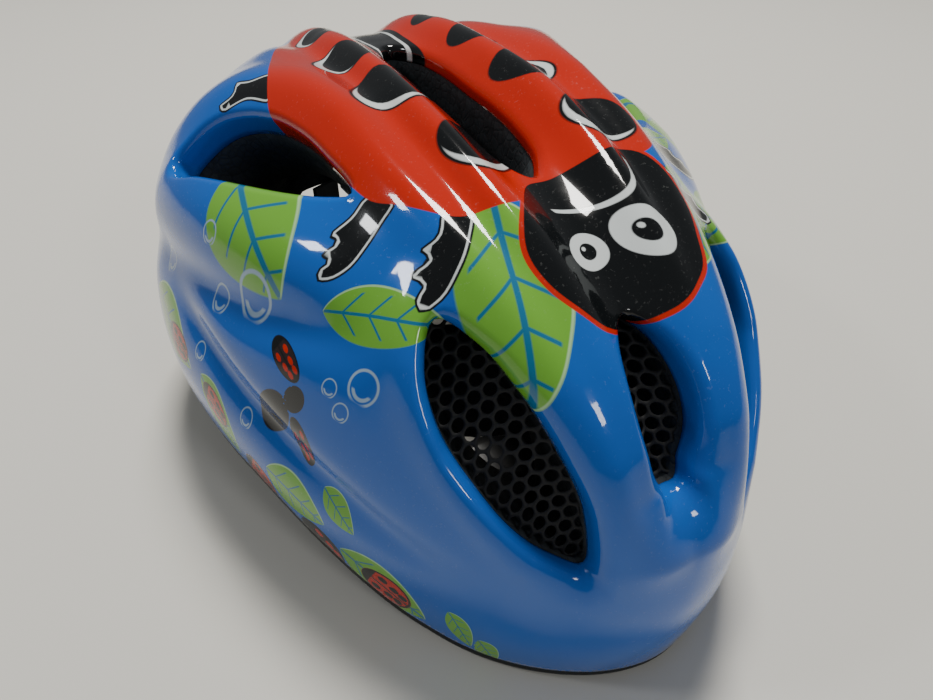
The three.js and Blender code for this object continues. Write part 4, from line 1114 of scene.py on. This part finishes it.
class HELMET_OT_liner(bpy.types.Operator):
    """Makes the foam body with its cavity and its vent walls"""
    bl_idname = "helmet.liner"
    bl_label = "Foam Liner"

    def execute(self, context):
        settings = context.scene.helmet_liner
        piece = liner_piece(settings)
        piece.data.materials.append(expanded_polystyrene(settings.colour))
        put_on(piece, "foam_liner")
        return {"FINISHED"}


class HELMET_OT_trim(bpy.types.Operator):
    """Sweeps the edge tape round the rim and sets the bug nets"""
    bl_idname = "helmet.trim"
    bl_label = "Edge Tape and Nets"

    def execute(self, context):
        tape = trim_piece()
        # Extruded soft PVC: dull, a little dusty, with a fine pebble.
        tape.data.materials.append(grained("soft_pvc", linear(0x17191A), 0.55, 0.6, 0.2, 0.3))
        put_on(tape, "edge_trim")
        # Knitted polyester mesh, black and matt.
        thread = grained("polyester_mesh", linear(0x101113), 0.7, 0.4, 0.1, 0.3)
        for name, node in (("centre", "centre"), ("front_left", "left"), ("front_right", "right")):
            net = net_piece("net_" + node, VENT[name])
            net.data.materials.append(thread)
            put_on(net, "bug_mesh_" + node)
        return {"FINISHED"}


# ---------- pads and straps ------------------
PAD_VOXEL, CHIN_VOXEL = 2.4, 1.6       # millimetres between the points of a cover
PADS = {"front_pad": PAD_VOXEL, "crown_pad_left": PAD_VOXEL, "crown_pad_right": PAD_VOXEL,
        "side_pad_left": PAD_VOXEL, "side_pad_right": PAD_VOXEL, "rear_pad": PAD_VOXEL,
        "chin_pad": CHIN_VOXEL}
CLOTH_FRAMES = 20
CLOTH_PRESSURE = 4


def pad_piece(node, settings, voxel):
    """A node's block swollen as a sewn cover over soft foam."""
    piece = copy_node(node, node + "_cover")
    apply_modifier(piece, "REMESH", mode="VOXEL", voxel_size=voxel * MM)
    start = np.array([v.co for v in piece.data.vertices])
    cloth = piece.modifiers.new("Cloth", "CLOTH")
    cloth.settings.quality = 6
    cloth.settings.use_pressure = True
    cloth.settings.uniform_pressure_force = CLOTH_PRESSURE
    cloth.settings.effector_weights.gravity = 0
    cloth.point_cache.frame_start, cloth.point_cache.frame_end = 1, CLOTH_FRAMES
    for now in range(1, CLOTH_FRAMES + 1):
        bpy.context.scene.frame_set(now)
    only(piece)
    bpy.ops.object.modifier_apply(modifier=cloth.name)
    move = np.array([v.co for v in piece.data.vertices]) - start
    length = np.linalg.norm(move, axis=1, keepdims=True)
    end = start + move * np.minimum(1, settings.swell / np.maximum(length, 1e-9))
    piece.data.vertices.foreach_set("co", end.ravel())
    bpy.context.scene.frame_set(1)
    apply_modifier(piece, "SUBSURF", levels=1, render_levels=1)
    piece.data.shade_smooth()
    return piece


# Half the section of a strap: how far across and how thick, as shares of its half width and half thickness.
SELVEDGE = [(-1, 0), (-0.97, 0.7), (-0.9, 1), (-0.6, 1), (-0.3, 1), (0, 1), (0.3, 1), (0.6, 1), (0.9, 1),
            (0.97, 0.7), (1, 0)]


def ribbon(name, stations, width, thick, per_span=8):
    """Webbing along stations, each a place and the direction of its width, with its weave in millimetres."""
    places, across = (smooth_curve([s[k] for s in stations], per_span) for k in (0, 1))
    along = unit(np.gradient(places, axis=0))
    across = unit(across - along * (across * along).sum(axis=1, keepdims=True))
    normal = np.cross(along, across)
    loop = SELVEDGE + [(s, -h) for s, h in SELVEDGE[-2:0:-1]]
    count = len(loop)
    points = np.stack([places + across * s * width / 2 + normal * h * thick / 2 for s, h in loop], axis=1)
    rings = np.arange(len(places) * count).reshape(-1, count)
    faces = [face for first, second in zip(rings, rings[1:]) for face in band(first, second)]
    faces += [rings[0], rings[-1]]
    piece = new_piece(name, points.reshape(-1, 3), faces)
    flat = np.array([(run, s * width / 2) for run in travel(places) for s, _ in loop])
    corners = np.array([corner.vertex_index for corner in piece.data.loops])
    piece.data.uv_layers.new(name="weave").uv.foreach_set("vector", flat[corners].ravel())
    return piece


STRAP_WIDTH, STRAP_THICK = 15.0, 1.2
STRAP_ROOTS = {"front": (75.2, -30.0), "rear": (74.6, 27.0)}
DIVIDER_X, DIVIDER_Y = 44.0, 12.0
CHIN_ENDS = {"left": 18, "right": 20}  # how far from the middle each chin strap ends in the buckle


def rim_strap(side, slot, y):
    """Where a strap runs, from its anchor down over the edge tape and in to the divider."""
    lead = 1 if y < DIVIDER_Y else -1
    drop = [(0, 0, 36.8), (0, 0, 26), (0.2, 1, 16), (2.8, 3, 8), (9.5, 6, 3.4), (16, 10, 2.1)]
    return [((side * (slot - inward), y + lead * on, z), (0, 1, 0)) for inward, on, z in drop] + [
        ((side * (DIVIDER_X + 9), DIVIDER_Y - 11 * lead, 1.9), (0, 1, 0))]


def chin_strap(side, end):
    """Where a strap runs from the divider to the buckle."""
    rows = [(38, 14, 1, 0.6), (35, 0, 1, 0), (34, -9, 1, 0), (33, -20, 1, 0), (31, -32, 1, 0.3),
            (29, -41, 0.9, 0.6), (25, -48, 0.4, 1), (end, -50, 0, 1)]
    return [((side * x, y, 1.4), (wide_x, side * wide_y, 0)) for x, y, wide_x, wide_y in rows]


class HELMET_OT_pads(bpy.types.Operator):
    """Swells the comfort pads and the chin pad with a cloth simulation"""
    bl_idname = "helmet.pads"
    bl_label = "Pads"

    def execute(self, context):
        settings = context.scene.helmet_soft
        cover = brushed_knit(settings.cover)
        for node, voxel in PADS.items():
            piece = pad_piece(node, settings, voxel)
            piece.data.materials.append(cover)
            put_on(piece, node)
        return {"FINISHED"}


class HELMET_OT_straps(bpy.types.Operator):
    """Lays the woven straps"""
    bl_idname = "helmet.straps"
    bl_label = "Straps"

    def execute(self, context):
        weave = woven_polyester(context.scene.helmet_soft.webbing)
        for word, side in (("left", 1), ("right", -1)):
            runs = {f"{end}_strap_{word}": rim_strap(side, *root) for end, root in STRAP_ROOTS.items()}
            runs[f"chin_strap_{word}"] = chin_strap(side, CHIN_ENDS[word])
            for node, stations in runs.items():
                piece = ribbon(node + "_webbing", stations, STRAP_WIDTH, STRAP_THICK)
                piece.data.materials.append(weave)
                put_on(piece, node)
        return {"FINISHED"}


# ---------- moulded parts ----------
# The finish of each moulded or pressed part, and the radius of its edges in millimetres.
MOULDED = {
    "band": (0.5, ["headband_front", "band_arm_left", "band_arm_right", "rear_cradle", "height_guide",
                   "dial_housing", "housing_cover", "divider_lever_left", "divider_lever_right",
                   "front_anchor_left", "front_anchor_right", "rear_anchor_left", "rear_anchor_right"]),
    "dial": (0.35, ["dial_knob"]),
    "buckle": (0.6, ["strap_divider_left", "strap_divider_right", "buckle_female", "buckle_male",
                     "buckle_prong_front", "buckle_prong_rear", "strap_keeper"]),
    "gear": (0.15, ["drive_pinion"]),
    "steel": (0.12, ["housing_screw_left", "housing_screw_right", "detent_spring", "light_cell"]),
    "board": (0.1, ["light_board"]),
    "lens": (0.3, ["light_lens"]),
}


def finishes(settings):
    lens, _, shader = material("clear_red_polycarbonate", 0.06, IOR=1.58, Transmission_Weight=0.55)
    shader.inputs["Base Color"].default_value = rgba(linear(0xC01818))
    return {
        # Spark-eroded polypropylene: a dull even grain that hides fingermarks.
        "band": grained("polypropylene_fine_grain", settings.band, 0.5, 0.35, 0.03),
        # Glass-filled nylon: a little glossier, with a coarser skin.
        "dial": grained("glass_filled_nylon", settings.dial, 0.42, 0.5, 0.04),
        # Polished acetal: smooth and waxy.
        "buckle": grained("black_acetal", settings.buckle, 0.32, 0.8, 0.01),
        "gear": grained("natural_acetal", linear(0xD5D3C8), 0.35, 0.8, 0.01, 0.04),
        # Zinc plate: bright, with a faint clouded haze.
        "steel": grained("zinc_plated_steel", linear(0xB9BCC0), 0.28, 1.5, 0.01, 0.1, Metallic=1.0),
        # Green solder mask over glass fibre.
        "board": grained("green_solder_mask", linear(0x1C6B3A), 0.35, 0.5, 0.02),
        "lens": lens,
    }


class HELMET_OT_moulded(bpy.types.Operator):
    """Rounds the edges of the moulded and pressed parts and gives them their finishes"""
    bl_idname = "helmet.moulded"
    bl_label = "Moulded Parts"

    def execute(self, context):
        finish = finishes(context.scene.helmet_moulded)
        for kind, (radius, nodes) in MOULDED.items():
            for node in nodes:
                piece = eased(node, node + "_moulded", radius)
                piece.data.materials.append(finish[kind])
                put_on(piece, node)
        return {"FINISHED"}


# ---------- stage ----------
CAMERA_PLACE = (-0.092, -0.182, 0.201)
CAMERA_TURN = -28.2            # degrees from the front, towards the wearer's right
CAMERA_RISE = 41.35
CAMERA_ROLL = 0.7
LIT_PLACE = Vector((0, 0, 0.06))
# Each light: its place, how wide it is, its power and its colour.
LIGHTS = {
    "window": ((0.3, 0.5, 1.6), 0.4, 31, (1.0, 0.97, 0.92)),
    "second_window": ((-1.1, 0.5, 1.2), 0.16, 3.0, (0.94, 0.97, 1.0)),
    "fill": ((0.4, -1.7, 1.2), 0.3, 5, (1.0, 1.0, 1.0)),
}
SKY, SKY_STRENGTH = (0.88, 0.9, 0.92, 1), 0.2


def soft_light(name, place, wide, power, colour):
    data = bpy.data.lights.new(name, "AREA")
    data.size, data.energy, data.color = wide, power, colour
    lamp = bpy.data.objects.new(name, data)
    lamp.location = place
    lamp.rotation_euler = (LIT_PLACE - Vector(place)).to_track_quat("-Z", "Y").to_euler()
    bpy.context.scene.collection.objects.link(lamp)
    return lamp


class HELMET_OT_stage(bpy.types.Operator):
    """Sets the pale floor, the soft studio light and the camera"""
    bl_idname = "helmet.stage"
    bl_label = "Stage"

    def execute(self, context):
        settings = context.scene.helmet_stage
        bpy.ops.mesh.primitive_plane_add(size=6)
        floor = context.object
        floor.name = "floor"
        plain, _, shader = material("matt_paper", 0.85)
        shader.inputs["Base Color"].default_value = rgba(settings.floor)
        floor.data.materials.append(plain)
        lamps = [soft_light(name, *row) for name, row in LIGHTS.items()]
        world = bpy.data.worlds.new("studio")
        world.use_nodes = True
        background = world.node_tree.nodes["Background"]
        background.inputs["Color"].default_value = SKY
        background.inputs["Strength"].default_value = SKY_STRENGTH
        context.scene.world = world
        data = bpy.data.cameras.new("camera")
        data.lens, data.sensor_width = settings.focal, 36
        data.clip_start = 0.01
        camera = bpy.data.objects.new("camera", data)
        camera.rotation_euler = Vector(direction(CAMERA_TURN, CAMERA_RISE)).to_track_quat("Z", "Y").to_euler()
        camera.rotation_euler.rotate_axis("Z", math.radians(CAMERA_ROLL))
        camera.location = CAMERA_PLACE
        context.scene.collection.objects.link(camera)
        context.scene.camera = camera
        return {"FINISHED"}


class HELMET_PT_panel(bpy.types.Panel):
    """Shows every setting and button of the helmet"""
    bl_label = "Helmet"
    bl_idname = "HELMET_PT_panel"
    bl_space_type = "VIEW_3D"
    bl_region_type = "UI"
    bl_category = "Helmet"

    def draw(self, context):
        scene = context.scene
        for group, operators in PANEL_ROWS:
            settings = getattr(scene, group)
            for key in settings.bl_rna.properties.keys()[2:]:
                self.layout.prop(settings, key)
            for operator in operators:
                self.layout.operator(operator.bl_idname)


GROUPS = {"helmet_shell": ShellSettings, "helmet_liner": LinerSettings, "helmet_soft": SoftSettings,
          "helmet_moulded": MouldedSettings, "helmet_stage": StageSettings}
PANEL_ROWS = [
    ("helmet_shell", [HELMET_OT_shell]),
    ("helmet_liner", [HELMET_OT_liner, HELMET_OT_trim]),
    ("helmet_soft", [HELMET_OT_pads, HELMET_OT_straps]),
    ("helmet_moulded", [HELMET_OT_moulded]),
    ("helmet_stage", [HELMET_OT_stage]),
]
OPERATORS = [operator for _, operators in PANEL_ROWS for operator in operators]


def register():
    for made in (*GROUPS.values(), *OPERATORS, HELMET_PT_panel):
        bpy.utils.register_class(made)
    for name, made in GROUPS.items():
        setattr(bpy.types.Scene, name, bpy.props.PointerProperty(type=made))


def unregister():
    for name in GROUPS:
        delattr(bpy.types.Scene, name)
    for made in (HELMET_PT_panel, *reversed(OPERATORS), *GROUPS.values()):
        bpy.utils.unregister_class(made)


def main():
    register()
    for operator in OPERATORS:
        group, name = operator.bl_idname.split(".")
        getattr(getattr(bpy.ops, group), name)()


if __name__ == "__main__":
    main()
